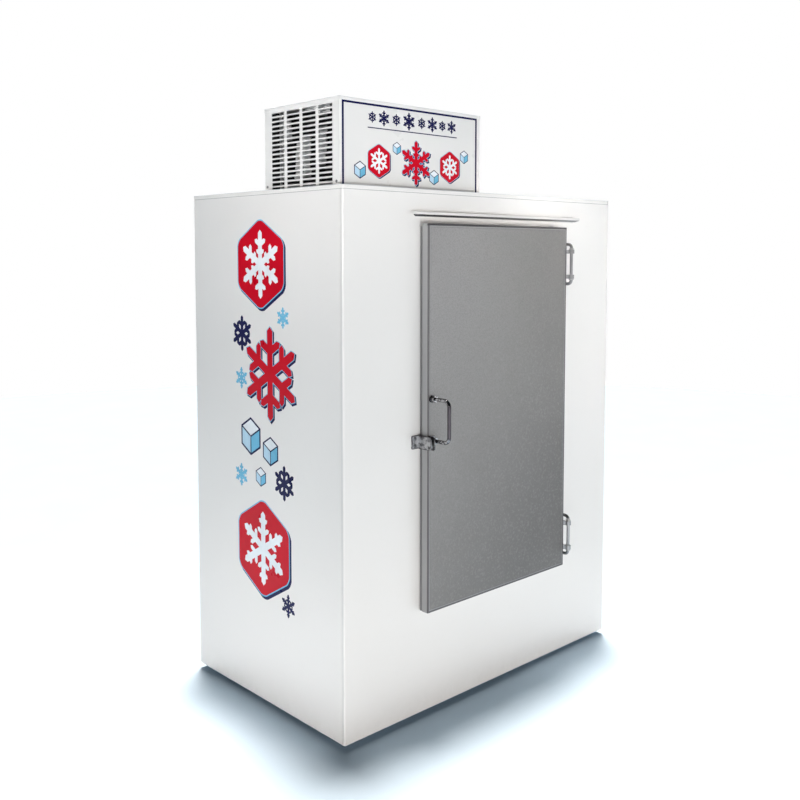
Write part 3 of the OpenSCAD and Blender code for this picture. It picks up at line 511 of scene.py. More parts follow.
NODE_SLOT = {
    "white_enamel": "left_side_panel right_side_panel front_panel roof_cap drip_rail",
    "box_enamel": "box_left_panel box_right_panel box_back_panel box_top",
    "header_sheet": "header_panel",
    "galvanised_sheet": "back_panel base_panel unit_base evaporator_housing evaporator_drip_pan",
    "runner_steel": "base_runners",
    "foam": "cabinet_insulation door_insulation",
    "liner_enamel": "inner_liner",
    "frame_plastic": "door_frame_strips door_inner_pan",
    "door_sheet": "door_outer_pan",
    "gasket_rubber": "door_gasket",
    "rack_steel": "floor_racks",
    "drain_plastic": "floor_drain evaporator_drain_tube",
    "bright_chrome": "hinge_loops door_handle handle_washers hinge_leaves",
    "zinc_plate": "strike_bracket hasp_tab strike_screws hinge_screws box_screws leaf_screws",
    "bush_nylon": "hinge_bushings hinge_collars",
    "compressor_enamel": "compressor condenser_fan_motor evaporator_fan_motor",
    "black_rubber": "compressor_grommets line_sleeve",
    "black_plastic": "terminal_cover thermostat_knob power_switch_body cord_gland thermostat_body",
    "rocker_plastic": "power_switch_rocker",
    "coil_fins": "condenser_coil evaporator_coil",
    "fan_sheet": "condenser_fan evaporator_fan",
    "grey_enamel": "condenser_fan_shroud control_box control_plate",
    "copper_tube": "filter_drier refrigerant_lines",
    "guard_wire": "evaporator_fan_guard",
}


# ------------------------------------------------------------------ shading and softened edges of the CAD nodes
def smooth_group():
    g = bpy.data.node_groups.new("join_and_smooth", "GeometryNodeTree")
    g.interface.new_socket("Geometry", in_out="INPUT", socket_type="NodeSocketGeometry")
    g.interface.new_socket("Geometry", in_out="OUTPUT", socket_type="NodeSocketGeometry")
    gi, go = g.nodes.new("NodeGroupInput"), g.nodes.new("NodeGroupOutput")
    drop = g.nodes.new("GeometryNodeRemoveAttribute")
    drop.inputs["Name"].default_value = "custom_normal"
    merge = g.nodes.new("GeometryNodeMergeByDistance")
    merge.inputs["Distance"].default_value = 2e-6
    allf = g.nodes.new("GeometryNodeSetShadeSmooth")
    allf.domain = "FACE"
    allf.inputs["Shade Smooth"].default_value = True
    sharp = g.nodes.new("GeometryNodeSetShadeSmooth")
    sharp.domain = "EDGE"
    sharp.inputs["Shade Smooth"].default_value = False
    angle = g.nodes.new("GeometryNodeInputMeshEdgeAngle")
    cmp = g.nodes.new("FunctionNodeCompare")
    cmp.data_type, cmp.operation = "FLOAT", "GREATER_THAN"
    cmp.inputs[1].default_value = math.radians(32)
    ln = g.links.new
    ln(gi.outputs[0], drop.inputs["Geometry"])
    ln(drop.outputs[0], merge.inputs["Geometry"])
    ln(merge.outputs[0], allf.inputs["Geometry"])
    ln(allf.outputs[0], sharp.inputs["Geometry"])
    ln(angle.outputs[0], cmp.inputs[0])
    ln(cmp.outputs[0], sharp.inputs["Selection"])
    ln(sharp.outputs[0], go.inputs[0])
    return g


SMOOTH = smooth_group()


def soften(ob, width=0.0, segments=2, angle=35):
    mod = ob.modifiers.new("join_and_smooth", "NODES")
    mod.node_group = SMOOTH
    if width:
        bv = ob.modifiers.new("edge", "BEVEL")
        bv.width = width * mm
        bv.segments = segments
        bv.limit_method = "ANGLE"
        bv.angle_limit = math.radians(angle)
        bv.use_clamp_overlap = True
        bv.harden_normals = True
        bv.miter_outer = "MITER_ARC"


EDGE = {  # bevel widths in mm, for nodes whose edges show
    "base_runners": (1.5, 2), "front_panel": (0.35, 2), "left_side_panel": (0.35, 2), "right_side_panel": (0.35, 2),
    "roof_cap": (0.45, 2), "drip_rail": (0.3, 2), "header_panel": (0.4, 2), "box_top": (0.45, 2),
    "door_outer_pan": (2.2, 4), "door_inner_pan": (5.0, 4), "strike_bracket": (0.5, 2), "hasp_tab": (0.5, 2),
    "door_frame_strips": (0.8, 2), "control_plate": (0.5, 2), "thermostat_knob": (0.8, 3), "power_switch_body": (0.5, 2),
    "power_switch_rocker": (0.5, 2), "terminal_cover": (2.0, 3), "handle_washers": (0.6, 3), "hinge_collars": (0.4, 2),
    "evaporator_housing": (0.4, 2), "floor_racks": (0.8, 2), "cord_gland": (0.6, 2), "back_panel": (0.3, 2),
}
for slot, names in NODE_SLOT.items():
    for n in names.split():
        ob = NODE[n]
        ob.data.materials.clear()
        ob.data.materials.append(FIN[slot].m)
        if n in ("front_panel", "roof_cap", "box_top"):
            ob.data.materials[0] = {"front_panel": FRONT, "roof_cap": ROOF, "box_top": BOX_TOP}[n].m
        if n == "drip_rail":
            ob.data.materials[0] = RAIL.m
        own = {"hinge_loops": HINGE_METAL, "hinge_leaves": HINGE_METAL, "door_handle": HANDLE_METAL, "handle_washers": HANDLE_METAL,
               "strike_bracket": STRIKE_ZINC, "hasp_tab": HASP_ZINC}.get(n)
        if own:
            ob.data.materials[0] = own.m
        w = EDGE.get(n, (0.0, 2))
        soften(ob, *w)


# ------------------------------------------------------------------ mesh helpers
def piece(name, bm, body, slot=None, mat=None, smooth=True, angle=32, edge=0.0, segs=2):
    bmesh.ops.recalc_face_normals(bm, faces=bm.faces)
    me = bpy.data.meshes.new(name)
    bm.to_mesh(me)
    bm.free()
    ob = bpy.data.objects.new(name, me)
    SCENE.collection.objects.link(ob)
    me.materials.append((mat or FIN[slot]).m)
    if smooth:
        for p in me.polygons:
            p.use_smooth = True
        soften(ob, edge, segs, angle + 3)
    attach(ob, body)
    return ob


def add_prism(bm, pts, place, t0, t1):
    """Closed prism from a 2-D outline. place(u, v, t) gives the point."""
    lo = [bm.verts.new(place(u, v, t0)) for u, v in pts]
    hi = [bm.verts.new(place(u, v, t1)) for u, v in pts]
    n = len(pts)
    bm.faces.new(lo[::-1])
    bm.faces.new(hi)
    for i in range(n):
        bm.faces.new((lo[i], lo[(i + 1) % n], hi[(i + 1) % n], hi[i]))


def add_box(bm, a, b):
    v = [bm.verts.new((x, y, z)) for x in (a[0], b[0]) for y in (a[1], b[1]) for z in (a[2], b[2])]
    for f in ((0, 1, 3, 2), (4, 6, 7, 5), (0, 4, 5, 1), (2, 3, 7, 6), (0, 2, 6, 4), (1, 5, 7, 3)):
        bm.faces.new([v[i] for i in f])


def add_tube(bm, pts, r, sides=10, caps=True):
    """Round tube along a list of points."""
    pts = [Vector(p) for p in pts]
    rings = []
    t0 = (pts[1] - pts[0]).normalized()
    up = Vector((0, 0, 1)) if abs(t0.z) < 0.9 else Vector((1, 0, 0))
    x = t0.cross(up).normalized()
    for i, p in enumerate(pts):
        a = pts[max(0, i - 1)]
        b = pts[min(len(pts) - 1, i + 1)]
        t = (b - a).normalized()
        x = (x - t * x.dot(t)).normalized()
        y = t.cross(x)
        rings.append([bm.verts.new(p + r * (math.cos(q) * x + math.sin(q) * y)) for q in (2 * math.pi * k / sides for k in range(sides))])
    for a, b in zip(rings, rings[1:]):
        for k in range(sides):
            bm.faces.new((a[k], a[(k + 1) % sides], b[(k + 1) % sides], b[k]))
    if caps:
        bm.faces.new(rings[0][::-1])
        bm.faces.new(rings[-1])


def add_lathe(bm, profile, place, sides=24):
    """Closed solid of revolution. profile is [(radius, height)] from axis to axis; place(x, y, h) gives the point."""
    rings = []
    for r, h in profile:
        if r < 1e-7:
            rings.append([bm.verts.new(place(0, 0, h))])
        else:
            rings.append([bm.verts.new(place(r * math.cos(a), r * math.sin(a), h)) for a in (2 * math.pi * k / sides for k in range(sides))])
    for a, b in zip(rings, rings[1:]):
        for k in range(sides):
            k2 = (k + 1) % sides
            if len(a) == 1 and len(b) == 1:
                continue
            if len(a) == 1:
                bm.faces.new((a[0], b[k2], b[k]))
            elif len(b) == 1:
                bm.faces.new((a[k], a[k2], b[0]))
            else:
                bm.faces.new((a[k], a[k2], b[k2], b[k]))


# ------------------------------------------------------------------ generic snow and ice graphics
def flake(R, w, branches, rot=0.0):
    """Outline of a six-armed snow crystal: arm half width w, branches as (distance, length, half width)."""
    c6, s6 = 0.5, math.sqrt(3) / 2
    half = [(math.sqrt(3) * w, w)]
    for b, L, wb in branches:
        ti = (w - 0.5 * wb) / s6
        to = (w + 0.5 * wb) / s6
        half += [
            (b + c6 * ti - s6 * wb, w),
            (b + c6 * L - s6 * wb, s6 * L + 0.5 * wb),
            (b + c6 * (L + wb), s6 * (L + wb)),
            (b + c6 * L + s6 * wb, s6 * L - 0.5 * wb),
            (b + c6 * to + s6 * wb, w),
        ]
    half.append((R, w))
    out = []
    for k in range(6):
        a = rot + k * math.pi / 3
        ca, sa = math.cos(a), math.sin(a)
        arm = [(r, -h) for r, h in half] + [(R + w * 0.9, 0)] + [(r, h) for r, h in half[::-1]]
        for r, h in arm[:-1]:
            out.append((r * ca - h * sa, r * sa + h * ca))
    return out


def flake_set(R, grow=0.0, rot=math.pi / 2, kind=0, fat=1.0):
    grow += R * 0.05 * (fat - 1.0)
    w = R * 0.105
    if kind == 0:
        br = [(R * 0.34, R * 0.17, R * 0.070), (R * 0.62, R * 0.26, R * 0.078)]
    elif kind == 1:
        br = [(R * 0.52, R * 0.36, R * 0.090)]
    else:
        br = [(R * 0.42, R * 0.26, R * 0.068), (R * 0.74, R * 0.17, R * 0.068)]
    br = [(b, L + grow * 0.2, wb + grow) for b, L, wb in br]
    return flake(R + grow * 0.4, w + grow, br, rot)


def side_place(y, z, sink):
    """Decal plane on the left side: u to the front, seen from outside; t grows outwards."""
    def place(u, v, t):
        return (SIDE_X - sink - t, y - u, z + v)
    return place


def head_place(x, z, sink):
    def place(u, v, t):
        return (x + u, HEAD_LO.y - sink - t, z + v)
    return place


def vinyl(name, color, rough=0.30):
    m = Mat(name, color, rough, 0.0, spec=0.12)
    f = m.noise(7.0, 4.0, 0.6)
    q = m.noise(160.0, 2.0)
    base = m.mix(m.remap(f, 0.3, 0.7), m.tone(0.90), m.tone(1.08))
    pale = tuple(min(1.0, c * 0.7 + 0.16) for c in color)
    base = m.mix(m.remap(q, 0.68, 0.85, 0.0, 0.05), base, pale)
    m.set("Base Color", base)
    m.set("Roughness", m.remap(f, 0.3, 0.7, rough - 0.05, rough + 0.08))
    m.bump(m.noise(420.0, 2.0), 0.02 * mm)
    return m


RED = vinyl("vinyl_red", (0.56, 0.003, 0.016))
NAVY = vinyl("vinyl_navy", (0.008, 0.008, 0.062))
SKY = vinyl("vinyl_light_blue", (0.16, 0.47, 0.68))
ICE = vinyl("vinyl_ice_white", (0.80, 0.84, 0.88))
PALE = vinyl("vinyl_pale_blue", (0.48, 0.68, 0.82))
FIELD = enamel("header_field_grey", (0.778, 0.770, 0.762), 0.30)

T = 0.10 * mm  # each layer of film


def hexagon(R, rot=math.pi / 2):
    """Six-sided plate with slightly rounded corners."""
    out = []
    for k in range(6):
        a = rot + k * math.pi / 3
        for d in (-0.10, -0.035, 0.035, 0.10):
            r = R * (1.0 - 0.30 * abs(d)) * (0.975 if abs(d) < 0.05 else 0.985)
            out.append((r * math.cos(a + d), r * math.sin(a + d)))
    return out


def plate_motif(prefix, place_of, u, v, R, kind=0):
    """A red six-sided plate with a white snow crystal in it, edged in light blue, on a navy shadow."""
    o = max(1.8 * mm, R * 0.035)
    for i, (n, mat, pts, du, dv) in enumerate((
        ("shadow", NAVY, hexagon(R + o * 0.9), o * 1.5, -o * 1.3),
        ("edge", SKY, hexagon(R + o * 0.8), 0, 0),
        ("fill", RED, hexagon(R), 0, 0),
        ("crystal", ICE, flake_set(R * 0.70, 0.0, math.pi / 2, kind), 0, 0),
    )):
        bm = bmesh.new()
        add_prism(bm, [(a + du, b + dv) for a, b in pts], place_of(u, v, 0.02 * mm + T * i), 0.0, T)
        piece(f"{prefix}_{n}", bm, "cabinet", mat=mat, smooth=False)


def motif(prefix, place_of, u, v, R, kind=0, colour=None, rot=math.pi / 2):
    """A snow crystal as layered film: navy shadow set off to one side, a light-blue edge, then the colour."""
    big = colour is RED
    o = max(1.6 * mm, R * 0.018)
    layers = []
    if big:
        layers.append(("shadow", NAVY, flake_set(R, o * 1.4, rot, kind), o * 2.2, -o * 2.0))
        layers.append(("edge", SKY, flake_set(R, o * 1.0, rot, kind), 0, 0))
        layers.append(("fill", RED, flake_set(R, 0.0, rot, kind), 0, 0))
    else:
        layers.append(("fill", colour, flake_set(R, 0.0, rot, kind, 1.6), 0, 0))
    for i, (n, mat, pts, du, dv) in enumerate(layers):
        bm = bmesh.new()
        add_prism(bm, [(a + du, b + dv) for a, b in pts], place_of(u, v, 0.02 * mm + T * i), 0.0, T)
        piece(f"{prefix}_{n}", bm, "cabinet", mat=mat, smooth=False)


def cube_motif(prefix, place_of, u, v, s):
    """An ice cube seen from a corner: three rhombs with a navy rim."""
    def hexa(k):
        return [(k * math.cos(math.radians(a)), k * math.sin(math.radians(a))) for a in range(30, 390, 60)]

    def rh(a0, shrink):
        c = [(0, 0)] + [(s * math.cos(math.radians(a)), s * math.sin(math.radians(a))) for a in (a0, a0 + 60, a0 + 120)]
        mx = sum(p[0] for p in c) / 4
        my = sum(p[1] for p in c) / 4
        return [(mx + (x - mx) * shrink, my + (y - my) * shrink) for x, y in c]

    for i, (n, mat, pts) in enumerate((("rim", NAVY, hexa(s * 1.08)),)):
        bm = bmesh.new()
        add_prism(bm, pts, place_of(u, v, 0.02 * mm), 0.0, T)
        piece(f"{prefix}_{n}", bm, "cabinet", mat=mat, smooth=False)
    for n, mat, a0 in (("top", ICE, 30), ("left", PALE, 150), ("right", SKY, 270)):
        bm = bmesh.new()
        add_prism(bm, rh(a0, 0.90), place_of(u, v, 0.02 * mm + T), 0.0, T)
        piece(f"{prefix}_{n}", bm, "cabinet", mat=mat, smooth=False)


def side_graphics():
    c = 0.062  # middle of the printed area
    top = lambda u, v, s: side_place(c - u, v, s)
    plate_motif("side_plate_a", top, -0.006, 1.432, 0.142, 0)
    motif("side_crystal_b", top, 0.042, 1.088, 0.136, 1, RED)
    plate_motif("side_plate_c", top, -0.004, 0.520, 0.158, 2)
    for i, (u, z, r, k, mat) in enumerate((
        (-0.112, 1.208, 0.052, 1, NAVY), (0.112, 1.268, 0.030, 0, SKY), (-0.118, 1.062, 0.032, 2, SKY),
        (0.112, 0.752, 0.050, 1, NAVY), (-0.124, 0.742, 0.034, 0, SKY), (0.128, 0.366, 0.034, 2, NAVY),
    )):
        motif(f"side_small_{i}", top, u, z, r, k, mat)
    cube_motif("side_cube_a", top, -0.068, 0.876, 0.058)
    cube_motif("side_cube_b", top, 0.040, 0.842, 0.044)
    cube_motif("side_cube_c", top, -0.014, 0.752, 0.030)


def bar(name, place, u0, v0, u1, v1, mat, thick=T):
    bm = bmesh.new()
    add_prism(bm, [(u0, v0), (u1, v0), (u1, v1), (u0, v1)], place, 0.0, thick)
    piece(name, bm, "cabinet", mat=mat, smooth=False)


def header_graphics():
    at = lambda u, v, s: head_place(u, v, s)
    z0, z1 = HEAD_LO.z, HEAD_HI.z
    left, right, top = HEAD_LO.x + 9.3 * mm, HEAD_HI.x - 14 * mm, z1 - 7.5 * mm
    w = 7.4 * mm
    bar("header_field", head_place(0, 0, 0.0), left + 1 * mm, z0 + 1 * mm, right - 1 * mm, top - 1 * mm, FIELD, 0.02 * mm)
    base = head_place(0, 0, 0.02 * mm)
    bm = bmesh.new()
    add_prism(bm, [(left, z0 + 1 * mm), (left + w, z0 + 1 * mm), (left + w, top - w), (right - w, top - w), (right - w, z0 + 1 * mm),
                   (right, z0 + 1 * mm), (right, top), (left, top)], base, 0.0, T)
    piece("header_frame_line", bm, "cabinet", mat=NAVY, smooth=False)
    mid = (left + right) / 2
    # small crystals over a rule, larger figures below
    for i, (u, r, k) in enumerate(((-0.168, 0.015, 1), (-0.122, 0.021, 0), (-0.072, 0.016, 1), (-0.020, 0.024, 0),
                                   (0.034, 0.016, 1), (0.080, 0.021, 0), (0.124, 0.015, 1), (0.166, 0.019, 0))):
        motif(f"header_small_{i}", at, mid + u, z1 - 0.047, r, k, NAVY)
    bar("header_rule", base, mid - 0.186, z1 - 0.0795, mid + 0.190, z1 - 0.0765, NAVY)
    plate_motif("header_plate_a", at, mid - 0.142, z0 + 0.076, 0.050, 1)
    motif("header_crystal", at, mid + 0.010, z0 + 0.079, 0.062, 0, RED)
    plate_motif("header_plate_b", at, mid + 0.158, z0 + 0.076, 0.050, 1)
    for i, (u, v, s) in enumerate(((-0.216, 0.046, 0.024), (-0.070, 0.118, 0.018), (0.088, 0.040, 0.022), (0.224, 0.112, 0.020))):
        cube_motif(f"header_cube_{i}", at, mid + u, z0 + v, s)


side_graphics()
header_graphics()


# ------------------------------------------------------------------ door gasket: one bulb section swept round the leaf
def gasket():
    lo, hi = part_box("door_gasket")
    back, face = hi.y, lo.y  # back touches the cabinet, face touches the leaf
    prof = [(0, 0), (0, 2.6), (0.5, 3.1), (1.7, 3.6), (1.7, 4.4), (0.5, 4.9), (0, 5.4), (0, 8.6), (0.4, 10.0), (1.4, 11.1), (3.0, 11.65),
            (11.0, 11.7), (13.2, 11.2), (14.8, 9.8), (15.6, 7.8), (16.0, 5.6), (17.6, 4.6), (23.5, 4.2), (25.2, 3.4), (26, 2.0), (26, 0)]
    bm = bmesh.new()
    rings = []
    for i, h in prof:
        y = face + h * mm
        i = i * mm
        rings.append([bm.verts.new(p) for p in (
            (lo.x + i, y, lo.z + i), (hi.x - i, y, lo.z + i), (hi.x - i, y, hi.z - i), (lo.x + i, y, hi.z - i))])
    n = len(rings)
    for a in range(n):
        r, s = rings[a], rings[(a + 1) % n]
        for k in range(4):
            bm.faces.new((r[k], r[(k + 1) % 4], s[(k + 1) % 4], s[k]))
    ob = piece("door_gasket_ring", bm, "door", slot="gasket_rubber")
    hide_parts("door_gasket")


gasket()


# ------------------------------------------------------------------ screws with cross recesses
def add_screw(bm, at, out, r, h, twist=0.0):
    """Pan-head screw: at is the middle of the head's underside, out the way it faces."""
    out = Vector(out).normalized()
    x = out.cross(Vector((0, 0, 1)) if abs(out.z) < 0.9 else Vector((1, 0, 0))).normalized()
    y = out.cross(x)
    ct, st = math.cos(twist), math.sin(twist)
    x, y = x * ct + y * st, y * ct - x * st
    at = Vector(at)

    def P(u, v, t):
        return at + x * u + y * v + out * t

    sides = 24
    a = r * 0.46  # reach of the recess
    b = r * 0.13
    cross = [(a, -b), (a, b), (b, b), (b, a), (-b, a), (-b, b), (-a, b), (-a, -b), (-b, -b), (-b, -a), (b, -a), (b, -b)]
    rings = []
    for rr, t in ((r, 0), (r, 0.35 * h), (r * 0.95, 0.66 * h), (r * 0.82, 0.87 * h), (r * 0.62, 0.98 * h)):
        rings.append([bm.verts.new(P(rr * math.cos(q), rr * math.sin(q), t)) for q in (2 * math.pi * k / sides for k in range(sides))])
    for p, q in zip(rings, rings[1:]):
        for k in range(sides):
            bm.faces.new((p[k], p[(k + 1) % sides], q[(k + 1) % sides], q[k]))
    bm.faces.new(rings[0][::-1])
    # top: ring between the last circle and the cross, then the recess walls and floor
    rim = [bm.verts.new(P(u, v, h)) for u, v in cross]
    low = [bm.verts.new(P(u * 0.72, v * 0.72, 0.45 * h)) for u, v in cross]
    outer = rings[-1]
    edges = []
    for loop in (outer, rim):
        for k in range(len(loop)):
            e = bm.edges.get((loop[k], loop[(k + 1) % len(loop)])) or bm.edges.new((loop[k], loop[(k + 1) % len(loop)]))
            edges.append(e)
    bmesh.ops.triangle_fill(bm, use_beauty=True, use_dissolve=False, edges=edges)
    doomed = [f for f in bm.faces if len(f.verts) == 3 and all(v in rim for v in f.verts)]
    bmesh.ops.delete(bm, geom=doomed, context="FACES_ONLY")
    for k in range(12):
        bm.faces.new((rim[k], rim[(k + 1) % 12], low[(k + 1) % 12], low[k]))
    bm.faces.new(low)


def screws(name, body, node, places, out, r, h):
    bm = bmesh.new()
    rnd = random.Random(len(name) * 7 + 3)
    for p in places:
        add_screw(bm, p, out if not callable(out) else out(p), r * mm, h * mm, rnd.uniform(0, 1.5))
    ob = piece(name, bm, body, slot="zinc_plate", mat=SCREW_DARK if node == "strike_screws" else None, angle=38)
    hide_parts(node)
    return ob


def all_screws():
    lo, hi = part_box("hinge_screws")
    hx = (lo.x + hi.x) / 2
    head = lo.y + 2.6 * mm
    zs = []
    hl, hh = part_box("hinge_loops")
    r = 4.6 * mm
    # four in each back plate: at the ends and beside the arms
    low = lo.z + r
    up = hi.z - r
    ln = 150 * mm
    for z in (low + 7 * mm, up - ln - 7 * mm):
        zs += [z - 7 * mm, z + 30 * mm, z + ln - 30 * mm, z + ln + 7 * mm]
    screws("hinge_fixing_screws", "cabinet", "hinge_screws", [(hx, head, z) for z in zs], (0, -1, 0), 4.6, 2.6)
    lo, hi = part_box("strike_screws")
    sx = (lo.x + hi.x) / 2
    z = (lo.z + hi.z) / 2
    screws("strike_fixing_screws", "cabinet", "strike_screws", [(sx, lo.y + 3 * mm, z - 11 * mm), (sx, lo.y + 3 * mm, z + 11 * mm)], (0, -1, 0), 4.8, 3.0)
    lo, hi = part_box("box_screws")
    z = lo.z + 4.2 * mm
    xs = (BOX_LO.x + 40 * mm, (BOX_LO.x + BOX_HI.x) / 2, BOX_HI.x - 40 * mm)
    bx_l, bx_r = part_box("box_left_panel")[0].x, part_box("box_right_panel")[1].x
    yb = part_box("box_back_panel")[1].y
    pts = [(x, yb, z - 0 * mm) for x in xs] + [(x, y, z + 1 * mm) for x in (bx_l, bx_r) for y in (BOX_LO.y + 14 * mm, yb - 12 * mm)]

    def way(p):
        if abs(p[1] - yb) < 1e-6:
            return (0, 1, 0)
        return (-1, 0, 0) if p[0] < -0.3 else (1, 0, 0)

    screws("box_fixing_screws", "cabinet", "box_screws", pts, way, 4.2, 2.2)


all_screws()


# ------------------------------------------------------------------ sealing strips, which also stand in as painted shade lines
def rail_shade_seal():
    """Dark neoprene tape along the underside of the drip rail, a dark strip that also stands in as painted shade under
    the lip; it is painted greyer towards the hinge side, where that shade fades.
    """
    m = Mat("rail_shade_tape", (0.05, 0.05, 0.052), 0.75, 0.0, spec=0.2)
    x = m.xyz()[0]
    # painted: greyer towards the hinge side, where the shade under the lip fades
    dust = m.math("ADD", m.remap(x, -0.25, 0.45, 0.0, 0.55), m.math("MULTIPLY", m.math("SUBTRACT", m.noise(30.0, 4.0), 0.5), 0.25), clamp=True)
    m.set("Base Color", m.mix(dust, (0.045, 0.043, 0.046), (0.44, 0.435, 0.43)))
    m.set("Roughness", m.remap(m.noise(90.0, 2.0), 0.3, 0.7, 0.65, 0.85))
    m.bump(m.noise(260.0, 3.0), 0.15 * mm)
    lo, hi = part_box("drip_rail")
    z = lo.z
    prof = [(-5.2, 5.0), (-11.9, 9.7), (-11.9, 8.2), (-5.2, 3.6)]
    bm = bmesh.new()
    ends = []
    for side in (0, 1):
        ring = []
        for y, dz in prof:
            f = -y / 13.0
            a, b = (lo.x + 24 * mm * (1 - f) * 1.0 + 1.2 * mm), (hi.x - 32 * mm * (1 - f) - 1.2 * mm)
            ring.append(bm.verts.new((b if side else a, YF + y * mm, z + dz * mm)))
        ends.append(ring)
    a, b = ends
    for k in range(4):
        bm.faces.new((a[k], a[(k + 1) % 4], b[(k + 1) % 4], b[k]))
    bm.faces.new(a[::-1])
    bm.faces.new(b)
    piece("drip_rail_shade_tape", bm, "cabinet", mat=m, smooth=False)


def bead(name, path, z0, z1, out0, out1, mat, close=False):
    """Low bead along a path of (x, y, nx, ny) on the skins."""
    bm = bmesh.new()
    rings = []
    for x, y, nx, ny in path:
        rings.append([bm.verts.new((x + nx * o, y + ny * o, z)) for o, z in ((out0, z0), (out1, z0 + (z1 - z0) * 0.25), (out1, z1), (out0, z1))])
    for p, q in zip(rings, rings[1:]):
        for k in range(4):
            bm.faces.new((p[k], p[(k + 1) % 4], q[(k + 1) % 4], q[k]))
    bm.faces.new(rings[0][::-1])
    bm.faces.new(rings[-1])
    piece(name, bm, "cabinet", mat=mat, smooth=False)


def body_path(back):
    """Round the left side, the front and the right side of the body, with the bends of the front skin."""
    r = 5.0 * mm
    w = -SIDE_X
    out = [(-w, back, -1, 0)]
    for s in (-1, 1):
        cx, cy = s * (w - r), YF + r
        for k in range(7):
            a = math.pi / 2 * k / 6
            n = (s * math.cos(a), -math.sin(a)) if s < 0 else (s * math.sin(a), -math.cos(a))
            out.append((cx + r * n[0], cy + r * n[1], n[0], n[1]))
    out.append((w, back, 1, 0))
    return out


# a grey sealant bead under the roof cap's edge, darker than the enamel: a sealed joint that also stands in as the
# painted shade line under the cap
SEALANT_AND_SHADE = grain("seam_sealant_shade_line", (0.36, 0.36, 0.355), 0.6, 0.0, var=0.12, scale=20, fine=160, rvar=0.08, peel=300, peel_d=0.1)
cap_lo, cap_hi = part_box("roof_cap")
bead("roof_cap_sealant_shade_line", body_path(cap_hi.y - 4 * mm), cap_lo.z - 1.5 * mm, cap_lo.z + 0.1 * mm, -0.1 * mm, 0.75 * mm, SEALANT_AND_SHADE)
rail_shade_seal()


# ------------------------------------------------------------------ finned coils
def fin_coil(name, node, lo, hi, along, pitch, rows, layers, r, body, dark):
    """Stack of thin fins with hairpin tubes. along is the axis the tubes run on (0 or 1)."""
    bm = bmesh.new()
    n = int((hi[along] - lo[along]) / pitch)
    rnd = random.Random(5)
    for k in range(n):
        p = lo[along] + (k + 0.5) * pitch
        a, b = list(lo), list(hi)
        j = rnd.uniform(-0.12, 0.12) * pitch
        a[along], b[along] = p - 0.14 * mm + j, p + 0.14 * mm + j
        add_box(bm, a, b)
    fins = piece(name + "_fins", bm, body, mat=dark, smooth=False)
    bm = bmesh.new()
    across = 1 - along
    step = (hi[2] - lo[2]) / rows
    for lay in range(layers):
        c = lo[across] + (lay + 0.5) * (hi[across] - lo[across]) / layers
        for k in range(rows):
            z = lo[2] + (k + 0.5) * step
            e0, e1 = [0, 0, z], [0, 0, z]
            e0[across] = e1[across] = c
            e0[along], e1[along] = lo[along] - 3 * mm, hi[along] + 3 * mm
            if k % 2 == lay % 2 and k + 1 < rows:  # hairpin at one end, then the other
                pts = [tuple(e1)]
                mid = z + step / 2
                for q in range(0, 9):
                    t = math.pi * q / 8
                    p = [0, 0, mid - step / 2 * math.cos(t)]
                    p[across] = c
                    p[along] = hi[along] + 3 * mm + math.sin(t) * step / 2 * 0.55
                    pts.append(tuple(p))
                add_tube(bm, pts[1:], r, 8)
            if k % 2 != lay % 2 and k + 1 < rows:
                mid = z + step / 2
                pts = []
                for q in range(0, 9):
                    t = math.pi * q / 8
                    p = [0, 0, mid - step / 2 * math.cos(t)]
                    p[across] = c
                    p[along] = lo[along] - 3 * mm - math.sin(t) * step / 2 * 0.55
                    pts.append(tuple(p))
                add_tube(bm, pts, r, 8)
            add_tube(bm, [tuple(e0), tuple(e1)], r, 8)
    tubes = piece(name + "_tubes", bm, body, slot="copper_tube")
    return fins, tubes


def fins_behind_louvres():
    """Dusty dark fins with near-white runs painted on them as painted highlights."""
    m = Mat("coil_fins_dusty", (0.012, 0.012, 0.013), 0.55, 0.0, spec=0.15)
    x, y, z = m.xyz()
    y = m.math("SUBTRACT", y, YF)
    z = m.math("SUBTRACT", z, ROOF_Z)
    total = None
    for c, w, lean, z0, z1, k in (
            (0.338, 0.015, 0.00, 0.034, 0.226, 1.0), (0.297, 0.014, 0.12, 0.152, 0.214, 2.3), (0.258, 0.012, -0.09, 0.030, 0.142, 3.1),
            (0.219, 0.021, 0.05, 0.036, 0.158, 4.7), (0.143, 0.019, -0.10, 0.066, 0.176, 5.9), (0.140, 0.022, 0.0, 0.210, 0.245, 8.3)):
        wob = m.math("MULTIPLY", m.math("SUBTRACT", m.noise(1.0, 3.0, 0.7, m.stretch(3.0 * k, 9.0 * k, 46.0)), 0.5), 0.034)
        d = m.math("SUBTRACT", m.math("SUBTRACT", y, c), m.math("ADD", wob, m.math("MULTIPLY", m.math("SUBTRACT", z, 0.11), lean)))
        f = m.remap(m.math("ABSOLUTE", d), w * 1.08, w * 0.88)
        f = m.math("MULTIPLY", f, m.math("MULTIPLY", m.remap(z, z0 - 0.004, z0 + 0.004), m.remap(z, z1 + 0.004, z1 - 0.004)))
        total = f if total is None else m.math("MAXIMUM", total, f)
    dust = m.mix(m.remap(m.noise(26.0, 4.0), 0.3, 0.7), (0.006, 0.006, 0.007), (0.018, 0.018, 0.02))
    # near-white runs painted on as painted highlights
    m.set("Base Color", m.mix(total, dust, (0.92, 0.925, 0.93)))
    m.set("Roughness", m.remap(m.noise(40.0, 3.0), 0.3, 0.7, 0.45, 0.65))
    m.bump(m.noise(300.0, 2.0), 0.05 * mm)
    return m


FIN_DARK = fins_behind_louvres()
FIN_BRIGHT = wire_metal("coil_fins_bright", (0.55, 0.56, 0.58), 0.35, stain=(0.30, 0.29, 0.28), amount=0.3, scale=30)


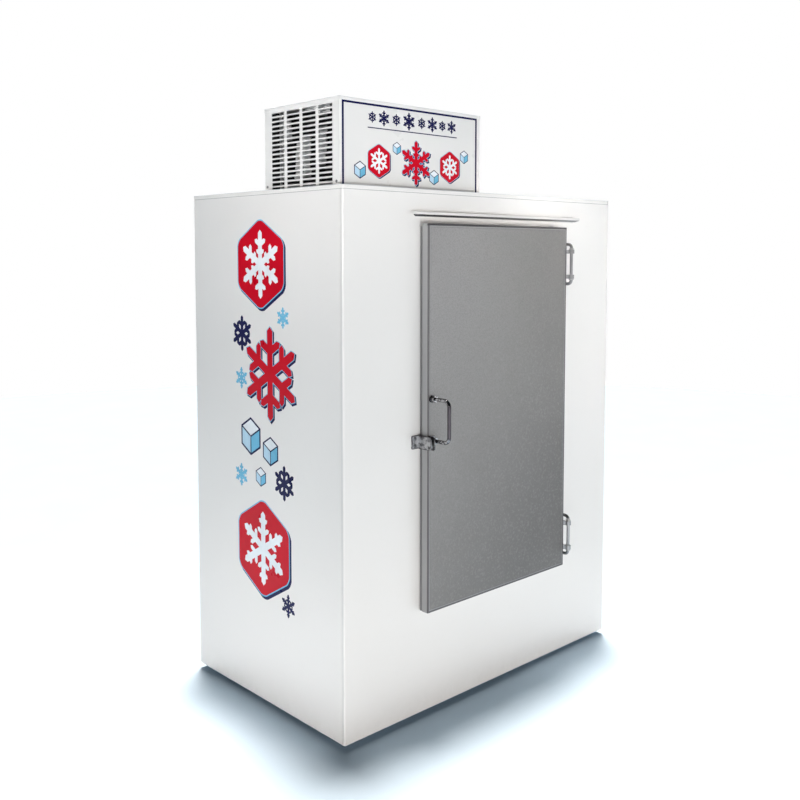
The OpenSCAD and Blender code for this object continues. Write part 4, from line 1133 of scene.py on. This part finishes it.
def coils():
    lo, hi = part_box("condenser_coil")
    a = (lo.x + 2 * mm, lo.y + 14 * mm, lo.z + 5 * mm)
    # fins span between the end plates
    y0, y1 = YF + 67 * mm, YF + 343 * mm
    fins, tubes = fin_coil("condenser", "condenser_coil", (-0.606, y0, ROOF_Z + 9 * mm), (-0.566, y1, ROOF_Z + 233 * mm), 1, 2.6 * mm, 9, 2, 4 * mm, "cabinet", FIN_DARK)
    bm = bmesh.new()
    for y in (YF + 64.5 * mm, YF + 344.0 * mm):
        add_box(bm, (-0.608, y, ROOF_Z + 4 * mm), (-0.564, y + 1.5 * mm, ROOF_Z + 238 * mm))
        s = 1 if y > YF + 0.2 else -1
        yy = y + (1.5 * mm if s > 0 else 0)
        add_box(bm, (-0.6115, min(yy, yy - 12 * mm * s), ROOF_Z + 4 * mm), (-0.6103, max(yy, yy - 12 * mm * s), ROOF_Z + 238 * mm))
        add_box(bm, (-0.6115, min(y, y + 1.5 * mm), ROOF_Z + 4 * mm), (-0.608, max(y, y + 1.5 * mm), ROOF_Z + 238 * mm))
    add_box(bm, (-0.606, YF + 60 * mm, ROOF_Z + 3 * mm), (-0.566, YF + 350 * mm, ROOF_Z + 8 * mm))
    ends = piece("condenser_end_plates", bm, "cabinet", slot="galvanised_sheet", smooth=False)
    bm = bmesh.new()
    for z in (ROOF_Z + 28 * mm, ROOF_Z + 208 * mm):
        pts = [(-0.572, YF + 66 * mm, z), (-0.572, YF + 60 * mm, z)]
        for q in range(0, 7):
            t = math.pi / 2 * q / 6
            pts.append((-0.572 + 4 * mm * (1 - math.cos(t)), YF + 60 * mm - 4 * mm * math.sin(t), z))
        pts.append((-0.556, YF + 56 * mm, z))
        add_tube(bm, pts, 4 * mm, 12)
    stubs = piece("condenser_stubs", bm, "cabinet", slot="copper_tube")
    # foam that closes the gap between the coil and the back panel, and a top strip of foil tape over the front half of the coil
    inner_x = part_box("box_left_panel")[1].x + 0.8 * mm
    inner_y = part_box("box_back_panel")[0].y - 0.8 * mm
    bm = bmesh.new()
    add_box(bm, (-0.6095, YF + 346.2 * mm, ROOF_Z + 5 * mm), (-0.6035, inner_y, ROOF_Z + 237 * mm))
    add_box(bm, (inner_x, inner_y - 3 * mm, ROOF_Z + 5 * mm), (-0.6100, inner_y, ROOF_Z + 237 * mm))
    piece("condenser_side_seal", bm, "cabinet", slot="black_rubber", smooth=False)
    foil = Mat("foil_tape", (0.86, 0.865, 0.87), 0.42, 0.15)
    foil.set("Base Color", foil.mix(foil.remap(foil.noise(60.0, 4.0), 0.35, 0.7), (0.90, 0.905, 0.91), (0.62, 0.63, 0.65)))
    foil.set("Roughness", foil.remap(foil.noise(90.0, 3.0), 0.3, 0.7, 0.32, 0.55))
    foil.bump(foil.noise(180.0, 4.0, 0.6), 0.5 * mm)
    bm = bmesh.new()
    for y0_, y1_, z0_, z1_ in ((96, 214, 231, 240.5), (96, 150, 215, 231)):
        add_box(bm, (-0.6132, YF + y0_ * mm, ROOF_Z + z0_ * mm), (-0.6126, YF + y1_ * mm, ROOF_Z + z1_ * mm))
    piece("condenser_foil_tape", bm, "cabinet", mat=foil, smooth=False)
    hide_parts("condenser_coil")
    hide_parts("condenser_coil")
    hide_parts("condenser_coil")
    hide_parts("condenser_coil")
    # evaporator
    lo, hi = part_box("evaporator_housing")
    eh_x0, eh_x1 = lo.x, hi.x
    z_top = hi.z
    fins, tubes = fin_coil("evaporator", "evaporator_coil", (eh_x0 + 25 * mm, YF + 560 * mm, lo.z + 18 * mm), (eh_x1 - 25 * mm, YF + 620 * mm, z_top - 12 * mm), 0, 5.0 * mm, 5, 2, 4 * mm, "cabinet", FIN_BRIGHT)
    bm = bmesh.new()
    for x in (eh_x0 + 22 * mm, eh_x1 - 24 * mm):
        add_box(bm, (x, YF + 556 * mm, lo.z + 8 * mm), (x + 2 * mm, YF + 624 * mm, z_top))
    ends = piece("evaporator_end_plates", bm, "cabinet", slot="galvanised_sheet", smooth=False)
    bm = bmesh.new()
    for sx, r, z in ((-0.476, 6.0, z_top - 30 * mm), (-0.458, 3.2, z_top - 60 * mm)):
        add_tube(bm, [(sx, YF + 520 * mm, z), (sx, YF + 562 * mm, z)], r * mm, 14)
    stubs = piece("evaporator_stubs", bm, "cabinet", slot="copper_tube")
    for o in (fins, tubes, ends, stubs):
        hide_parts("evaporator_coil")


coils()


# ------------------------------------------------------------------ floor, light
def floor():
    me = bpy.data.meshes.new("floor")
    n, r = 96, 7.5
    me.from_pydata([(r * math.cos(2 * math.pi * k / n), r * math.sin(2 * math.pi * k / n), 0) for k in range(n)], [], [tuple(range(n))])
    ob = bpy.data.objects.new("floor", me)
    SCENE.collection.objects.link(ob)
    m = Mat("floor_pale", (0.66, 0.828, 0.965), 0.9, 0.0, spec=0.0)
    m.set("Base Color", m.mix(m.remap(m.noise(3.0, 3.0), 0.3, 0.7), (0.655, 0.823, 0.96), (0.67, 0.833, 0.97)))
    me.materials.append(m.m)


SKY_LOBES = (  # direction, where the glow starts and is full (cosines), strength
    ("base", (0, 0, 1), -3.0, -2.0, 0.03),
)
SOFTBOXES = (  # name, place, aim, size, power, spread of the grid in degrees
    ("key", (1.4, -4.9, 0.8), (0.1, -0.35, 0.9), (2.4, 1.0), 8.5, 180),
    ("front_low", (-1.3, -4.7, 0.31), (-0.2, -0.35, 0.6), (4.0, 0.5), 73.0, 180),
    ("front_high", (-1.6, -4.3, 1.7), (-0.42, -0.33, 1.86), (0.9, 0.5), 0.65, 19),
    ("low_left", (-4.8, 0.3, 0.42), (-0.65, 0.1, 0.7), (3.2, 0.7), 26.0, 180),
    ("left_high", (-4.3, -1.5, 1.45), (-0.62, -0.10, 1.78), (0.9, 0.5), 2.55, 30),
    ("front_foot", (-2.0, -4.4, 0.13), (-0.30, -0.34, 0.13), (1.6, 0.18), 0.9, 30),
    ("left_foot", (-4.4, -1.0, 0.17), (-0.65, -0.15, 0.10), (1.2, 0.24), 1.4, 30),
    ("low_right", (3.5, -3.5, 0.6), (0.4, -0.35, 0.9), (2.6, 1.0), 10.2, 180),
    ("right_top", (3.2, -2.6, 1.9), (0.78, -0.34, 1.28), (0.5, 0.5), 1.14, 24),
    ("floor_right", (0.9, -1.5, 3.0), (0.58, -0.80, 0.0), (0.3, 0.3), 0.75, 24),
    ("floor_left", (-1.7, 0.25, 3.0), (-1.12, 0.12, 0.0), (0.3, 0.3), 0.50, 22),
)
SUN = 4.67


def world():
    """Studio surroundings: white where the camera looks past the object, soft glows for lighting."""
    w = bpy.data.worlds.new("studio")
    SCENE.world = w
    w.use_nodes = True
    nt = w.node_tree
    nt.nodes.clear()
    out = nt.nodes.new("ShaderNodeOutputWorld")
    co = nt.nodes.new("ShaderNodeTexCoord").outputs["Generated"]
    total = None
    for name, d, lo, hi, strength in SKY_LOBES:
        if strength <= 0:
            continue
        v = nt.nodes.new("ShaderNodeVectorMath")
        v.operation = "DOT_PRODUCT"
        nt.links.new(co, v.inputs[0])
        v.inputs[1].default_value = Vector(d).normalized()
        r = nt.nodes.new("ShaderNodeMapRange")
        r.interpolation_type = "SMOOTHSTEP"
        nt.links.new(v.outputs["Value"], r.inputs["Value"])
        r.inputs["From Min"].default_value = lo
        r.inputs["From Max"].default_value = hi
        r.inputs["To Max"].default_value = strength
        if total is None:
            total = r.outputs[0]
        else:
            a = nt.nodes.new("ShaderNodeMath")
            nt.links.new(total, a.inputs[0])
            nt.links.new(r.outputs[0], a.inputs[1])
            total = a.outputs[0]
    lit = nt.nodes.new("ShaderNodeBackground")
    lit.inputs["Color"].default_value = (*SKY_TINT, 1)
    if total is None:
        lit.inputs["Strength"].default_value = 0.0
    else:
        nt.links.new(total, lit.inputs["Strength"])
    seen = nt.nodes.new("ShaderNodeBackground")
    seen.inputs["Color"].default_value = (1, 1, 1, 1)
    seen.inputs["Strength"].default_value = 1.0
    path = nt.nodes.new("ShaderNodeLightPath")
    m = nt.nodes.new("ShaderNodeMixShader")
    nt.links.new(path.outputs["Is Camera Ray"], m.inputs[0])
    nt.links.new(lit.outputs[0], m.inputs[1])
    nt.links.new(seen.outputs[0], m.inputs[2])
    nt.links.new(m.outputs[0], out.inputs["Surface"])


SKY_TINT = (0.55, 0.78, 1.0)
SUN_TINT = (1.0, 0.89, 0.81)
KEY_TINT = (1.0, 0.955, 0.915)


def area(name, at, to, size, power, color=(1, 1, 1)):
    l = bpy.data.lights.new(name, "AREA")
    l.shape = "RECTANGLE"
    l.size, l.size_y = size
    l.energy = power
    l.color = color
    ob = bpy.data.objects.new(name, l)
    SCENE.collection.objects.link(ob)
    ob.location = at
    ob.rotation_mode = "QUATERNION"
    ob.rotation_quaternion = (Vector(to) - Vector(at)).to_track_quat("-Z", "Y")
    ob.visible_camera = False
    return ob


def lights():
    if SUN > 0:
        sun = bpy.data.lights.new("overhead", "SUN")
        sun.energy = SUN
        sun.angle = math.radians(8.5)
        sun.color = SUN_TINT
        ob = bpy.data.objects.new("overhead", sun)
        SCENE.collection.objects.link(ob)
        ob.rotation_mode = "QUATERNION"
        ob.rotation_quaternion = Vector((-0.095, -0.105, -1.0)).to_track_quat("-Z", "Y")
    for name, at, to, size, power, spread in SOFTBOXES:
        if power > 0:
            area(name, at, to, size, power, KEY_TINT).data.spread = math.radians(spread)


floor()
world()
lights()
